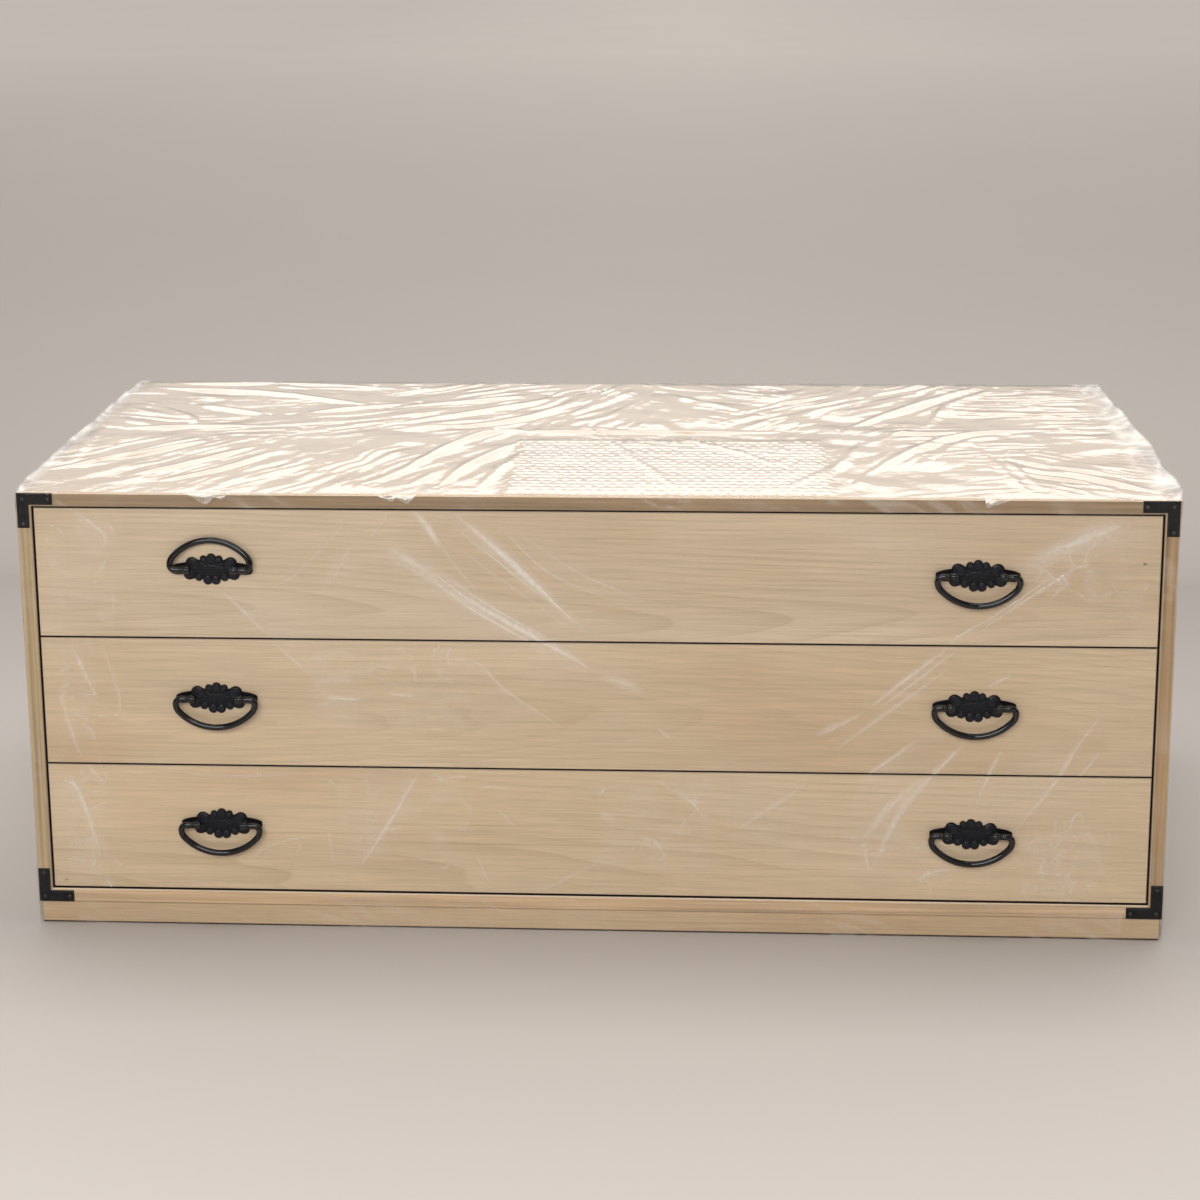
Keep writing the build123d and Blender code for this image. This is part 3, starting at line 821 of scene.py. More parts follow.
def plate_reach(turn):
    """Distance of the plate's outline from its centre, for angles in radians, in millimetres."""
    dx = np.cos(turn)
    dz = np.sin(turn)
    start = (0.0, CORE[2])
    reach = exit_distance(dx, dz, (0.0, CORE[2]), CORE[:2], start)
    reach = np.maximum(reach, exit_distance(dx, dz, (0.0, 0.0), WING, start))
    for x, z, radius in SCALLOPS:
        for sign in (-1, 1):
            reach = np.maximum(reach, exit_distance(dx, dz, (sign * x, z), (radius, radius), start))
    wing_side = WING_BLOCK[0] / np.clip(np.abs(dx), 1e-6, None)
    wing_low = np.where(dz < 0, (-WING[1] - CORE[2]) / np.clip(dz, None, -1e-6), 60)
    wing_high = np.where(dz > 0, (WING_BLOCK[1] - CORE[2]) / np.clip(dz, 1e-6, None), 60)
    reach = np.maximum(reach, np.minimum(wing_side, np.minimum(wing_low, wing_high)))
    for sign in (-1, 1):
        reach = np.maximum(reach, exit_distance(dx, dz, (sign * WING_BLOCK[0], WING_BLOCK[2]),
                                                (WING_BLOCK[3], WING_BLOCK[3]), start))
    return reach


class CHEST_OT_handle_plates(bpy.types.Operator):
    """Builds the six scalloped plates, with petals, a middle oval and flat wings"""

    bl_idname = "chest.handle_plates"
    bl_label = "Handle plates"

    SPOKES = 360
    RINGS = 36

    def relief(self, x, z, rim):
        """Height over the drawer front, in millimetres, at a place that is rim from the outline."""
        thick = bpy.context.scene.chest_iron.plate_thickness / MM
        edge = np.sin(np.clip(rim / 0.9, 0, 1) * math.pi / 2)
        height = thick * (0.45 + 0.45 * edge)
        centre = np.hypot(x / CORE[0], (z - CORE[2]) / CORE[1])
        petals = np.zeros_like(x)
        for px, pz, radius in SCALLOPS:
            for sign in (-1, 1):
                away = np.hypot(x - sign * px, z - pz) / radius
                dome = np.sqrt(np.clip(1 - away ** 2, 0, 1))
                rib = 0.16 * np.cos(away * 3 * math.pi)
                petals = np.maximum(petals, 1.25 * dome + rib * (dome > 0.15))
        leaf = np.clip(1.25 - centre, 0, 1)
        fluting = np.abs(np.sin(6 * np.arctan2((z - CORE[2]) * 2.2, x)))
        folds = 0.34 * fluting * np.clip(centre * 1.6 - 0.3, 0, 1) * (centre < 1.05)
        oval = np.hypot(x / BOSS[0], (z - BOSS[2]) / BOSS[1])
        boss = np.sqrt(np.clip(1 - oval ** 2, 0, 1))
        ring = np.exp(-((oval - 0.72) / 0.09) ** 2) * 0.30
        lip = np.exp(-((oval - 1.06) / 0.08) ** 2) * 0.26
        height = height + edge * (0.9 * petals + 0.3 * leaf + folds)
        height = height + 1.0 * boss - ring * (oval < 1) + lip
        seam = np.exp(-((z - 0.5) / 0.35) ** 2) * (np.abs(x) < 7) * 0.22
        height = height - seam
        wing = (np.abs(x) > 25) & (np.abs(z + 1.5) < 8)
        groove = np.exp(-((rim - 1.7) / 0.4) ** 2) * 0.22 * wing
        # Painted highlight on the petals, the flutes of the middle and the oval's ring, carried as the raised
        # value.
        raised = 0.85 * petals * edge - 0.25 + 0.8 * leaf * fluting + 0.8 * ring
        return np.clip(height - groove, 0.5, 2.68), np.clip(raised, 0, 1)

    def execute(self, context):
        turn = np.linspace(0, 2 * math.pi, self.SPOKES, endpoint=False)
        reach = plate_reach(turn)
        share = np.linspace(0, 1, self.RINGS) ** 0.9
        share[0] = 0.004
        radius = share[:, None] * reach[None, :]
        x = radius * np.cos(turn)[None, :]
        z = radius * np.sin(turn)[None, :] + CORE[2]
        edge_x = reach * np.cos(turn)
        edge_z = reach * np.sin(turn) + CORE[2]
        flat_x = x.ravel()
        flat_z = z.ravel()
        rim = np.full(flat_x.shape, 1e9)
        for k in range(0, self.SPOKES, 2):
            rim = np.minimum(rim, np.hypot(flat_x - edge_x[k], flat_z - edge_z[k]))
        height, raised = self.relief(flat_x, flat_z, rim)
        faces = grid_faces(self.RINGS, self.SPOKES, wrap=True)
        middle = np.array([[0.0, -height[:self.SPOKES].mean(), CORE[2]], [0.0, 0.0, CORE[2]]])
        front = np.stack([flat_x, -height, flat_z], -1)
        rim_base = np.stack([edge_x, np.zeros_like(edge_x), edge_z], -1)
        points = np.concatenate([front, rim_base, middle]) * MM
        outer = (self.RINGS - 1) * self.SPOKES
        base = self.RINGS * self.SPOKES
        around = np.arange(self.SPOKES)
        beside = (around + 1) % self.SPOKES
        walls = np.stack([outer + around, outer + beside, base + beside, base + around], -1)
        centre_front = base + self.SPOKES
        centre_back = centre_front + 1
        cap = np.stack([beside, around, np.full_like(around, centre_front)], -1)
        floor = np.stack([base + around, base + beside, np.full_like(around, centre_back)], -1)
        quads = np.concatenate([faces, walls])
        triangles = np.concatenate([cap, floor])
        mesh = bpy.data.meshes.new("handle_plate")
        mesh.from_pydata(points.tolist(), [], quads.tolist() + triangles.tolist())
        mesh.polygons.foreach_set("use_smooth", np.full(len(mesh.polygons), True))
        mesh.materials.append(black_iron())
        field = mesh.attributes.new("raised", "FLOAT", "POINT")
        values = np.zeros(len(mesh.vertices), dtype=np.float32)
        values[:len(raised)] = raised
        field.data.foreach_set("value", values)
        mesh.update()
        for drawer, side, hinge in hinges():
            piece = bpy.data.objects.new(f"plate_{drawer}_{side}", mesh)
            context.scene.collection.objects.link(piece)
            piece.location = (hinge[0], DRAWER_Y, hinge[2])
            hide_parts(f"handle_plate_{drawer}_{side}")
            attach(piece, f"drawer_{drawer}")
        return {"FINISHED"}


class CHEST_OT_handle_posts(bpy.types.Operator):
    """Builds the eye posts that carry the bails, and their ends inside the drawers"""

    bl_idname = "chest.handle_posts"
    bl_label = "Handle posts"

    # Barrel along the hinge line and stem through the front: (distance, radius) in millimetres.
    HALF_BARREL = ((0.0, 3.8), (0.9, 3.75), (1.8, 3.45), (2.2, 3.1), (2.5, 3.3), (3.2, 3.1), (3.5, 2.5),
                   (3.5, 0.0))
    BARREL = tuple((-along, radius) for along, radius in HALF_BARREL[:0:-1]) + HALF_BARREL
    STEM = ((1.0, 0.0), (1.0, 2.1), (4.6, 2.3), (5.4, 2.9), (6.0, 3.1), (6.6, 2.9), (7.0, 2.3), (24.0, 2.3),
            (24.0, 4.1), (24.3, 4.5), (24.7, 4.4), (25.0, 3.6), (25.0, 0.0))

    def execute(self, context):
        parts = []
        for sign in (-1, 1):
            centre = np.array([sign * EYE_CENTRE * MM, 0.0, 0.0])
            for profile, axis, segments in ((self.BARREL, (1.0, 0.0, 0.0), 32),
                                            (self.STEM, (0.0, 1.0, 0.0), 24)):
                scaled = [(a * MM, max(radius, CLOSED) * MM) for a, radius in profile]
                parts.append(lathe(scaled, centre, axis, segments))
        points, faces = joined(parts)
        mesh = None
        for drawer, side, hinge in hinges():
            name = f"posts_{drawer}_{side}"
            if mesh is None:
                piece = quad_mesh(name, points, faces[:, ::-1])
                mesh = piece.data
                mesh.materials.append(bail_iron())
            else:
                piece = bpy.data.objects.new(name, mesh)
                context.scene.collection.objects.link(piece)
            piece.location = hinge
            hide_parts(f"handle_posts_{drawer}_{side}")
            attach(piece, f"drawer_{drawer}")
        return {"FINISHED"}


class CHEST_OT_bails(bpy.types.Operator):
    """Builds the six bails: round bars bent to a shallow bow, with collars and thin ends"""

    bl_idname = "chest.bails"
    bl_label = "Bails"

    HALF_WIDTH = 36.8
    DROP = 27.4
    CORNER = 5.0
    BEND = 11.0
    SHOULDER = 25.8
    TENON_END = 18.2
    TENON_RADIUS = 1.7
    COLLAR = 2.2
    REST_LEAN = 8.183

    def half_path(self):
        """Right half of the centre line, from the shoulder to the middle of the bow, in millimetres."""
        reach = self.HALF_WIDTH - self.BEND
        run = self.DROP - self.CORNER
        bow = (reach ** 2 + run ** 2 - self.BEND ** 2) / (2 * (run - self.BEND))
        bow_centre = np.array([0.0, bow - self.DROP])
        bend_centre = np.array([reach, -self.CORNER])
        outward = (bend_centre - bow_centre) / np.linalg.norm(bend_centre - bow_centre)
        turn_centre = np.array([self.HALF_WIDTH - self.CORNER, -self.CORNER])
        path = [np.array([x, 0.0]) for x in np.linspace(self.SHOULDER, turn_centre[0], 7)[:-1]]
        for a in np.linspace(math.pi / 2, 0, 13)[:-1]:
            path.append(turn_centre + self.CORNER * np.array([math.cos(a), math.sin(a)]))
        stop = math.atan2(outward[1], outward[0])
        for a in np.linspace(0, stop, 15)[:-1]:
            path.append(bend_centre + self.BEND * np.array([math.cos(a), math.sin(a)]))
        for a in np.linspace(stop, -math.pi / 2, 26):
            path.append(bow_centre + bow * np.array([math.cos(a), math.sin(a)]))
        return np.array(path)

    def execute(self, context):
        bar = context.scene.chest_iron.bar_diameter / MM / 2
        half = self.half_path()
        path = np.concatenate([half, (half * (-1, 1))[::-1][1:]])
        away = np.abs(path[:, 0]) - self.SHOULDER
        straight = (path[:, 1] > -0.5) & (away >= 0)
        neck = np.where(straight, np.clip(away / 4.0, 0, 1), 1.0)
        radius = bar * (0.90 + 0.10 * neck)
        bow = np.clip(1 - np.abs(path[:, 0]) / self.HALF_WIDTH, 0, 1)
        radius = np.minimum(radius * (1 + 0.02 * bow), bar)
        line = np.stack([path[:, 0], np.zeros(len(path)), path[:, 1]], -1)
        bar_points, bar_faces = tube(line, radius)
        parts = [(bar_points, bar_faces)]
        step = self.SHOULDER - self.TENON_END
        profile = [(0.0, CLOSED), (0.0, self.TENON_RADIUS), (step, self.TENON_RADIUS), (step, bar * 0.86),
                   (step + 0.4, bar), (step + self.COLLAR, bar), (step + self.COLLAR + 0.5, bar * 0.88),
                   (step + self.COLLAR + 0.5, CLOSED)]
        for sign in (-1, 1):
            points, faces = lathe(profile, (sign * self.TENON_END, 0.0, 0.0), (float(sign), 0.0, 0.0), 24)
            parts.append((points, faces[:, ::-1]))
        points, faces = joined(parts)
        for drawer, side, hinge in hinges():
            raised = (drawer, side) == ("top", "left")
            turn = math.radians(180 - self.REST_LEAN) if raised else 0.0
            y = points[:, 1] * math.cos(turn) - points[:, 2] * math.sin(turn)
            z = points[:, 1] * math.sin(turn) + points[:, 2] * math.cos(turn)
            name = f"bail_{drawer}_{side}"
            piece = quad_mesh(name, np.stack([points[:, 0], y, z], -1) * MM, faces)
            piece.data.materials.append(bail_iron())
            piece.location = hinge
            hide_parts(f"handle_{name}")
            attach(piece, name)
        return {"FINISHED"}


# ---- Film ----

# Creases over the front, in millimetres: (whiteness, width, height, places as x and z).
# Their whiteness is partly the film's own whitening and partly painted glare off the crests.
FRONT_CREASES = (
    (0.70, 3.6, 0.5, ((-163, 411), (-147, 390), (-138, 372))),
    (0.30, 1.0, 0.3, ((-154, 403), (-119, 350), (-92, 322))),
    (0.80, 3.2, 0.7, ((-129, 410), (-80, 366), (-58, 344), (-6, 295))),
    (0.60, 1.2, 0.6, ((-100, 387), (-58, 348), (-30, 317), (-3, 292))),
    (0.45, 1.2, 0.4, ((-134, 400), (-88, 363), (-40, 322))),
    (0.30, 1.0, 0.4, ((-140, 388), (-64, 330), (-12, 291))),
    (0.34, 1.2, 0.3, ((-92, 403), (-40, 351), (21, 323))),
    (0.30, 1.0, 0.3, ((-84, 403), (-23, 357), (26, 333), (52, 322))),
    (0.85, 3.0, 0.7, ((-145, 350), (-111, 323), (-76, 302), (-27, 274), (5, 254))),
    (0.60, 1.4, 0.6, ((-150, 346), (-113, 317), (-80, 297), (-30, 269))),
    (0.55, 1.2, 0.5, ((-135, 349), (-104, 325), (-70, 304), (-10, 268))),
    (0.40, 3.6, 0.5, ((-189, 376), (-165, 360), (-140, 344))),
    (0.30, 1.2, 0.3, ((-192, 367), (-140, 338), (-60, 283))),
    (0.40, 6.0, 0.4, ((5, 254), (51, 236))),
    (0.35, 1.8, 0.4, ((-140, 265), (-107, 264), (-77, 235), (-20, 197))),
    (0.30, 1.6, 0.3, ((-134, 285), (-146, 271), (-142, 255))),
    (0.30, 1.6, 0.3, ((-120, 286), (-133, 271), (-128, 259))),
    (0.30, 1.6, 0.3, ((59, 203), (75, 190))),
    (0.30, 2.0, 0.3, ((205, 196), (226, 212))),
    (0.40, 2.2, 0.4, ((-480, 411), (-456, 392), (-438, 377))),
    (0.40, 2.0, 0.4, ((-342, 333), (-319, 310), (-298, 287))),
    (0.35, 2.0, 0.4, ((-294, 282), (-258, 247))),
    (0.22, 1.6, 0.3, ((-292, 334), (-265, 351), (-215, 406))),
    (0.22, 1.8, 0.3, ((-245, 330), (-228, 356), (-217, 380))),
    (0.22, 1.4, 0.3, ((-206, 377), (-181, 406))),
    (0.40, 2.2, 0.4, ((-485, 283), (-459, 221))),
    (0.40, 2.0, 0.4, ((-495, 236), (-487, 194), (-477, 164))),
    (0.50, 2.4, 0.5, ((-246, 228), (-212, 226))),
    (0.45, 2.4, 0.5, ((-191, 233), (-164, 230))),
    (0.28, 1.8, 0.3, ((-454, 282), (-439, 224), (-445, 204))),
    (0.45, 4.0, 0.5, ((398, 367), (440, 385), (483, 403))),
    (0.45, 1.3, 0.5, ((459, 375), (402, 336), (343, 293))),
    (0.45, 1.2, 0.5, ((426, 360), (376, 322), (321, 285))),
    (0.50, 1.2, 0.4, ((350, 307), (319, 284))),
    (0.55, 2.4, 0.5, ((326, 284), (288, 254), (250, 221))),
    (0.45, 1.6, 0.4, ((335, 284), (297, 252), (260, 222))),
    (0.40, 2.6, 0.4, ((250, 221), (205, 195))),
    (0.35, 2.6, 0.4, ((327, 265), (271, 221), (217, 179))),
    (0.45, 2.0, 0.4, ((382, 258), (359, 246))),
    (0.45, 2.2, 0.4, ((300, 196), (272, 174), (247, 156))),
    (0.40, 2.0, 0.4, ((343, 194), (326, 175), (310, 156))),
    (0.30, 2.4, 0.3, ((465, 224), (426, 164))),
    (0.32, 1.3, 0.4, ((396, 340), (406, 357), (419, 347), (429, 360))),
    (0.42, 5.2, 0.6, ((306, 160), (269, 123), (250, 94))),
    (0.40, 2.2, 0.4, ((250, 94), (256, 59))),
    (0.45, 4.6, 0.6, ((338, 190), (287, 129), (258, 65))),
    (0.45, 2.2, 0.4, ((375, 187), (363, 161), (352, 130))),
    (0.36, 2.6, 0.5, ((444, 191), (423, 153), (387, 104))),
    (0.35, 2.0, 0.4, ((464, 185), (440, 153))),
    (0.40, 2.0, 0.4, ((297, 53), (316, 65), (341, 68))),
    (0.55, 2.6, 0.5, ((-492, 155), (-477, 117), (-463, 61))),
    (0.45, 2.2, 0.4, ((-474, 160), (-458, 141))),
    (0.45, 2.2, 0.4, ((-461, 48), (-451, 26))),
    (0.50, 2.6, 0.5, ((-159, 160), (-190, 106), (-221, 57))),
    (0.30, 2.0, 0.3, ((-248, 100), (-244, 60))),
    (0.26, 1.8, 0.3, ((-399, 153), (-337, 150), (-274, 152))),
    (0.26, 1.8, 0.3, ((-328, 56), (-310, 77), (-276, 87), (-285, 55))),
    (0.30, 1.8, 0.3, ((-150, 146), (-132, 151), (-111, 153))),
    (0.30, 1.8, 0.3, ((-108, 139), (-93, 143), (-73, 139))),
    (0.30, 1.8, 0.3, ((-91, 122), (-69, 100))),
    (0.30, 2.0, 0.3, ((-111, 78), (-97, 45))),
    (0.30, 2.4, 0.3, ((51, 155), (88, 132), (113, 102))),
    (0.40, 1.8, 0.4, ((33, 77), (44, 92), (57, 90), (66, 75), (53, 72))),
    (0.28, 2.6, 0.3, ((203, 154), (129, 100))),
    (0.24, 2.6, 0.3, ((13, 74), (-62, 32))),
)

# Broad soft glare over the front: (whiteness, half width, places as x and z), in millimetres.
FRONT_GLARE = (
    (0.20, 22.0, ((157, 383), (233, 374), (305, 360), (364, 366))),
    (0.60, 10.0, ((372, 350), (420, 374), (478, 402))),
    (0.50, 7.0, ((-129, 408), (-80, 366), (-30, 318))),
    (0.55, 9.0, ((-190, 376), (-145, 349), (-76, 302), (-10, 262))),
    (0.10, 24.0, ((-60, 330), (-10, 285), (40, 250))),
    (0.10, 30.0, ((-480, 380), (-430, 330), (-380, 300))),
    (0.10, 18.0, ((100, 160), (150, 110), (180, 80))),
    (0.12, 20.0, ((430, 150), (440, 90), (420, 30))),
)

# Faces of the film that catch more light, sharp on one side: (whiteness, reach, side, places as x and z).
FRONT_VEILS = (
    (0.055, 60.0, 1, ((-92, 403), (-40, 351), (21, 323), (60, 300))),
    (0.050, 26.0, -1, ((-246, 331), (-242, 350), (-218, 379))),
    (0.060, 40.0, -1, ((-190, 372), (-140, 342), (-60, 285), (5, 250))),
    (0.050, 70.0, 1, ((180, 400), (260, 376), (340, 382))),
    (0.060, 45.0, -1, ((300, 196), (272, 174), (247, 156), (230, 120))),
    (0.055, 50.0, 1, ((444, 191), (423, 153), (387, 104), (380, 50))),
    (0.060, 40.0, -1, ((-492, 155), (-477, 117), (-463, 61), (-455, 40))),
    (0.050, 45.0, 1, ((-159, 160), (-190, 106), (-221, 57))),
    (0.045, 60.0, -1, ((-140, 265), (-107, 264), (-77, 235), (-20, 197))),
    (0.050, 40.0, 1, ((-342, 333), (-300, 290), (-258, 247), (-240, 200))),
    (0.045, 60.0, 1, ((60, 155), (88, 132), (140, 102), (200, 60))),
)

# Patches of small crinkles over the front: x low, x high, z low, z high, how many, seed.
FRONT_CRINKLES = (
    (388, 475, 40, 112, 34, 3),
    (-500, -450, 60, 150, 16, 5),
    (-500, -462, 165, 280, 14, 7),
    (398, 435, 338, 362, 7, 9),
    (440, 500, 300, 400, 10, 11),
    (-500, -440, 295, 400, 10, 13),
    (-240, -120, 60, 150, 12, 15),
    (-260, -110, 200, 280, 12, 17),
    (240, 330, 45, 110, 12, 19),
    (0, 110, 60, 150, 8, 21),
)
# How much whiter each crease is than the share in its row.
CREASE_WHITENESS = 1.35


class Crease:
    """One crease: its smooth line and the lines of its two feet."""

    def __init__(self, strength, width, height, places, spread=2.3):
        self.strength = min(1.0, strength * CREASE_WHITENESS)
        self.width = width * spread
        self.height = height
        self.line = smooth_line(places)
        along = np.gradient(self.line, axis=0)
        along /= np.linalg.norm(along, axis=1)[:, None]
        self.side = np.stack([-along[:, 1], along[:, 0]], -1)
        share = np.linspace(0, 1, len(self.line))
        self.taper = hump(share, 0.6)

    def feet(self):
        reach = self.side * (self.width / 2 * np.clip(self.taper, 0.06, 1))[:, None]
        return self.line + reach, self.line - reach


def crinkle_creases():
    """Short bent creases, strewn over the crinkled patches."""
    creases = []
    for x_low, x_high, z_low, z_high, count, seed in FRONT_CRINKLES:
        lots = np.random.default_rng(seed)
        for _ in range(count):
            start = np.array([lots.uniform(x_low, x_high), lots.uniform(z_low, z_high)])
            heading = lots.uniform(0, 2 * math.pi)
            length = lots.uniform(5, 16)
            bend = lots.uniform(-0.9, 0.9)
            middle = start + length * np.array([math.cos(heading), math.sin(heading)])
            end = middle + length * 0.7 * np.array([math.cos(heading + bend), math.sin(heading + bend)])
            strength = lots.uniform(0.16, 0.44)
            creases.append(Crease(strength, lots.uniform(1.5, 3.0), 0.3, (start, middle, end), 1.2))
    return creases


def veils(x, z):
    """Painted reflection: whiteness of the film's large flat faces over the front, at places in millimetres.
    """
    total = 0.09 * facets((x + 0.8 * z) / 85, (z - 0.5 * x) / 60, 133)
    for strength, reach_out, side, places in FRONT_VEILS:
        away, share, behind = near_line(x, z, smooth_line(places))
        ends = hump(share, 0.5, 0.02)
        total += 2.4 * strength * np.exp(-(away / reach_out) ** 2) * ends * (behind * side >= 0)
    for x_low, x_high, z_low, z_high, _, seed in FRONT_CRINKLES:
        inner = inset(x, z, (x_low, z_low), (x_high, z_high))
        patch = np.clip(inner / 14 + 0.4, 0, 1)
        total += 0.26 * patch * facets((x + 0.4 * z) / 17, (z - 0.3 * x) / 12, 140 + seed) ** 1.6
    return total


def glare(x, z, bands):
    """Whiteness of the broad soft bands at places in millimetres."""
    total = np.zeros(x.shape)
    for strength, wide, places in bands:
        away, share, _ = near_line(x, z, smooth_line(places))
        total += strength * np.exp(-(away / wide) ** 2) * hump(share, 0.5, 0.02)
    return total * (0.6 + 0.8 * swell(x / 30, z / 30, 77))


class CHEST_OT_drawer_films(bpy.types.Operator):
    """Builds the film over each drawer front, open round the handles, with its creases"""

    bl_idname = "chest.drawer_films"
    bl_label = "Film over the drawers"

    # Gap round a handle plate, pitch of the mesh, and least distance between the drawer and the film.
    HOLE_MARGIN = 0.7
    GRID = 3.2
    STAND_OFF = 0.30
    # Margin round a crease, greatest height of the film, and the oval round each handle where it lies lower.
    MARGIN = 9.0
    MOST = 1.1
    HANDLE_OVAL = (50.0, 36.0)
    MOST_AT_HANDLE = 0.3

    def constraint_lines(self, low, high, creases, handles):
        """Points and edges that the mesh has to keep: outline, holes and creases."""
        points = []
        edges = []

        def chain(line, closed=False):
            first = len(points)
            points.extend([tuple(p) for p in line])
            edges.extend((first + k, first + k + 1) for k in range(len(line) - 1))
            if closed:
                edges.append((first + len(line) - 1, first))

        corners = [(low.x, low.y), (high.x, low.y), (high.x, high.y), (low.x, high.y)]
        for a, b in zip(corners, corners[1:] + corners[:1]):
            count = max(2, int(math.dist(a, b) / self.GRID))
            share = np.linspace(0, 1, count, endpoint=False)
            chain([(a[0] + (b[0] - a[0]) * t, a[1] + (b[1] - a[1]) * t) for t in share] + [b])
        turn = np.linspace(0, 2 * math.pi, 180, endpoint=False)
        hole = plate_reach(turn) + self.HOLE_MARGIN
        for x, z in handles:
            chain(np.stack([x + hole * np.cos(turn), z + CORE[2] + hole * np.sin(turn)], -1), closed=True)
        for crease in creases:
            left, right = crease.feet()
            for line in (crease.line, left, right):
                chain(line)
        return points, edges

    def execute(self, context):
        material = film_material("wrap_film_front", 0.22, gloss_share=0.5)
        creases = [Crease(*entry) for entry in FRONT_CREASES] + crinkle_creases()
        for drawer in DRAWERS:
            node_low, node_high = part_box(f"film_drawer_{drawer}")
            low = Vector((node_low.x, node_low.z)) / MM
            high = Vector((node_high.x, node_high.z)) / MM
            handles = [(place[0] / MM, place[2] / MM) for name, _, place in hinges() if name == drawer]
            here = [c for c in creases if c.line[:, 1].max() > low.y - 3 and c.line[:, 1].min() < high.y + 3]
            points, edges = self.constraint_lines(low, high, here, handles)
            xs = np.arange(low.x + self.GRID, high.x - 1, self.GRID)
            zs = np.linspace(low.y, high.y, int((high.y - low.y) / self.GRID) + 1)[1:-1]
            gx, gz = np.meshgrid(xs, zs)
            gx = gx + (chance(np.arange(gx.size).reshape(gx.shape), 0, 3) - 0.5) * 1.2
            points.extend(zip(gx.ravel().tolist(), gz.ravel().tolist()))
            made = delaunay_2d_cdt([Vector(p) for p in points], edges, [], 0, 1e-4)
            flat = np.array([tuple(p) for p in made[0]])
            faces = np.array(made[2])
            x, z = flat[faces].mean(1).T
            keep = (x > low.x) & (x < high.x) & (z > low.y) & (z < high.y)
            for handle_x, handle_z in handles:
                dx = x - handle_x
                dz = z - handle_z - CORE[2]
                keep &= np.hypot(dx, dz) > plate_reach(np.arctan2(dz, dx)) + self.HOLE_MARGIN
            used, faces = packed(faces[keep])
            x, z = flat[used].T
            height = 0.25 * swell(x / 22, z / 22, 61) + 0.15 * facets(x / 14, z / 14, 62)
            # Painted glare and reflection over the front. The creases below add their whitening and painted
            # glare.
            fold = 0.55 * glare(x, z, FRONT_GLARE) + veils(x, z)
            for crease in here:
                close = beside_line(x, z, crease.line, self.MARGIN)
                if not close.any():
                    continue
                away, share, _ = near_line(x[close], z[close], crease.line)
                taper = hump(share, 0.6)
                half = crease.width / 2 * np.clip(taper, 0.06, 1)
                tent = np.clip(1 - away / half, 0, 1)
                height[close] = np.maximum(height[close], 0) + crease.height * tent * taper
                bell = np.exp(-(away / (0.7 * crease.width)) ** 2)
                white = crease.strength * taper * (0.62 * tent + 0.30 * bell)
                fold[close] = 1 - (1 - fold[close]) * (1 - white)
            most = np.full(x.shape, self.MOST)
            for handle_x, handle_z in handles:
                oval = np.hypot((x - handle_x) / self.HANDLE_OVAL[0], (z - handle_z) / self.HANDLE_OVAL[1])
                most = np.where(oval < 1, self.MOST_AT_HANDLE, most)
            y = DRAWER_Y / MM - self.STAND_OFF - np.minimum(height, most)
            piece = quad_mesh(f"film_{drawer}", np.stack([x, y, z], -1) * MM, faces, {"fold": fold})
            piece.data.materials.append(material)
            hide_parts(f"film_drawer_{drawer}")
            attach(piece, f"drawer_{drawer}")
        return {"FINISHED"}


# Folds of the film over the top, in millimetres: (height, half width, places as x and y).
TOP_FOLDS = (
    (3.0, 9, ((-523, 216), (-368, 204), (-209, 187))),
    (3.0, 10, ((-535, 187), (-387, 166), (-230, 100))),
    (2.5, 8, ((-332, 63), (-271, 95), (-200, 123))),
    (3.0, 9, ((-443, 110), (-349, 63))),
    (2.5, 8, ((-488, 109), (-432, 53), (-421, 20))),
    (2.5, 9, ((-504, 6), (-412, 16), (-297, 10))),
    (3.5, 9, ((-520, -152), (-446, -82), (-397, -24))),
    (3.0, 7, ((-445, -178), (-388, -121), (-325, -50))),
    (3.0, 7, ((-408, -190), (-355, -142), (-303, -64))),
    (3.0, 7, ((-480, -123), (-437, -86), (-386, -32))),
    (2.5, 8, ((-210, -196), (-168, -117))),
    (2.5, 7, ((-499, -138), (-512, 6))),
    (4.0, 9, ((-195, -189), (-159, -84), (-115, -3), (-72, 2))),
    (4.0, 8, ((-143, -207), (-121, -123), (-75, -29))),
    (3.5, 8, ((-106, -213), (-91, -140), (-71, -75))),
    (3.0, 7, ((-171, -205), (-143, -134))),
    (3.0, 10, ((-239, 91), (-147, 128), (-62, 162))),
    (3.0, 10, ((-227, 15), (-125, 89), (-16, 172))),
    (3.0, 9, ((-158, 13), (-77, 64), (-1, 186))),
    (2.5, 8, ((-14, 19), (52, 173))),
    (2.5, 8, ((-53, 31), (9, 163))),
    (3.0, 7, ((-116, 1), (39, 0), (199, 3))),
    (2.5, 9, ((57, 173), (100, 128), (170, 68))),
    (2.5, 6, ((-7, -1), (58, -157), (80, -209))),
    (2.5, 6, ((58, -15), (134, -78), (182, -144))),
    (3.5, 10, ((237, 8), (332, 127), (418, 222))),
    (2.5, 8, ((178, 39), (273, 149))),
    (3.5, 9, ((328, 22), (359, 115), (424, 202))),
    (3.5, 9, ((235, -180), (306, -64), (366, -1), (463, 20))),
    (2.5, 7, ((319, -103), (357, -33), (404, -5))),
    (3.5, 8, ((159, -217), (218, -143), (258, -34))),
    (2.5, 7, ((376, 89), (441, 82), (497, 57))),
    (3.0, 7, ((376, -80), (389, -176), (396, -212))),
    (3.0, 7, ((388, -91), (409, -211))),
    (3.0, 8, ((412, -119), (465, -158), (518, -209))),
)
BUBBLE_LOW, BUBBLE_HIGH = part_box("bubble_sheet")
BUBBLE_RADIUS = 4.7


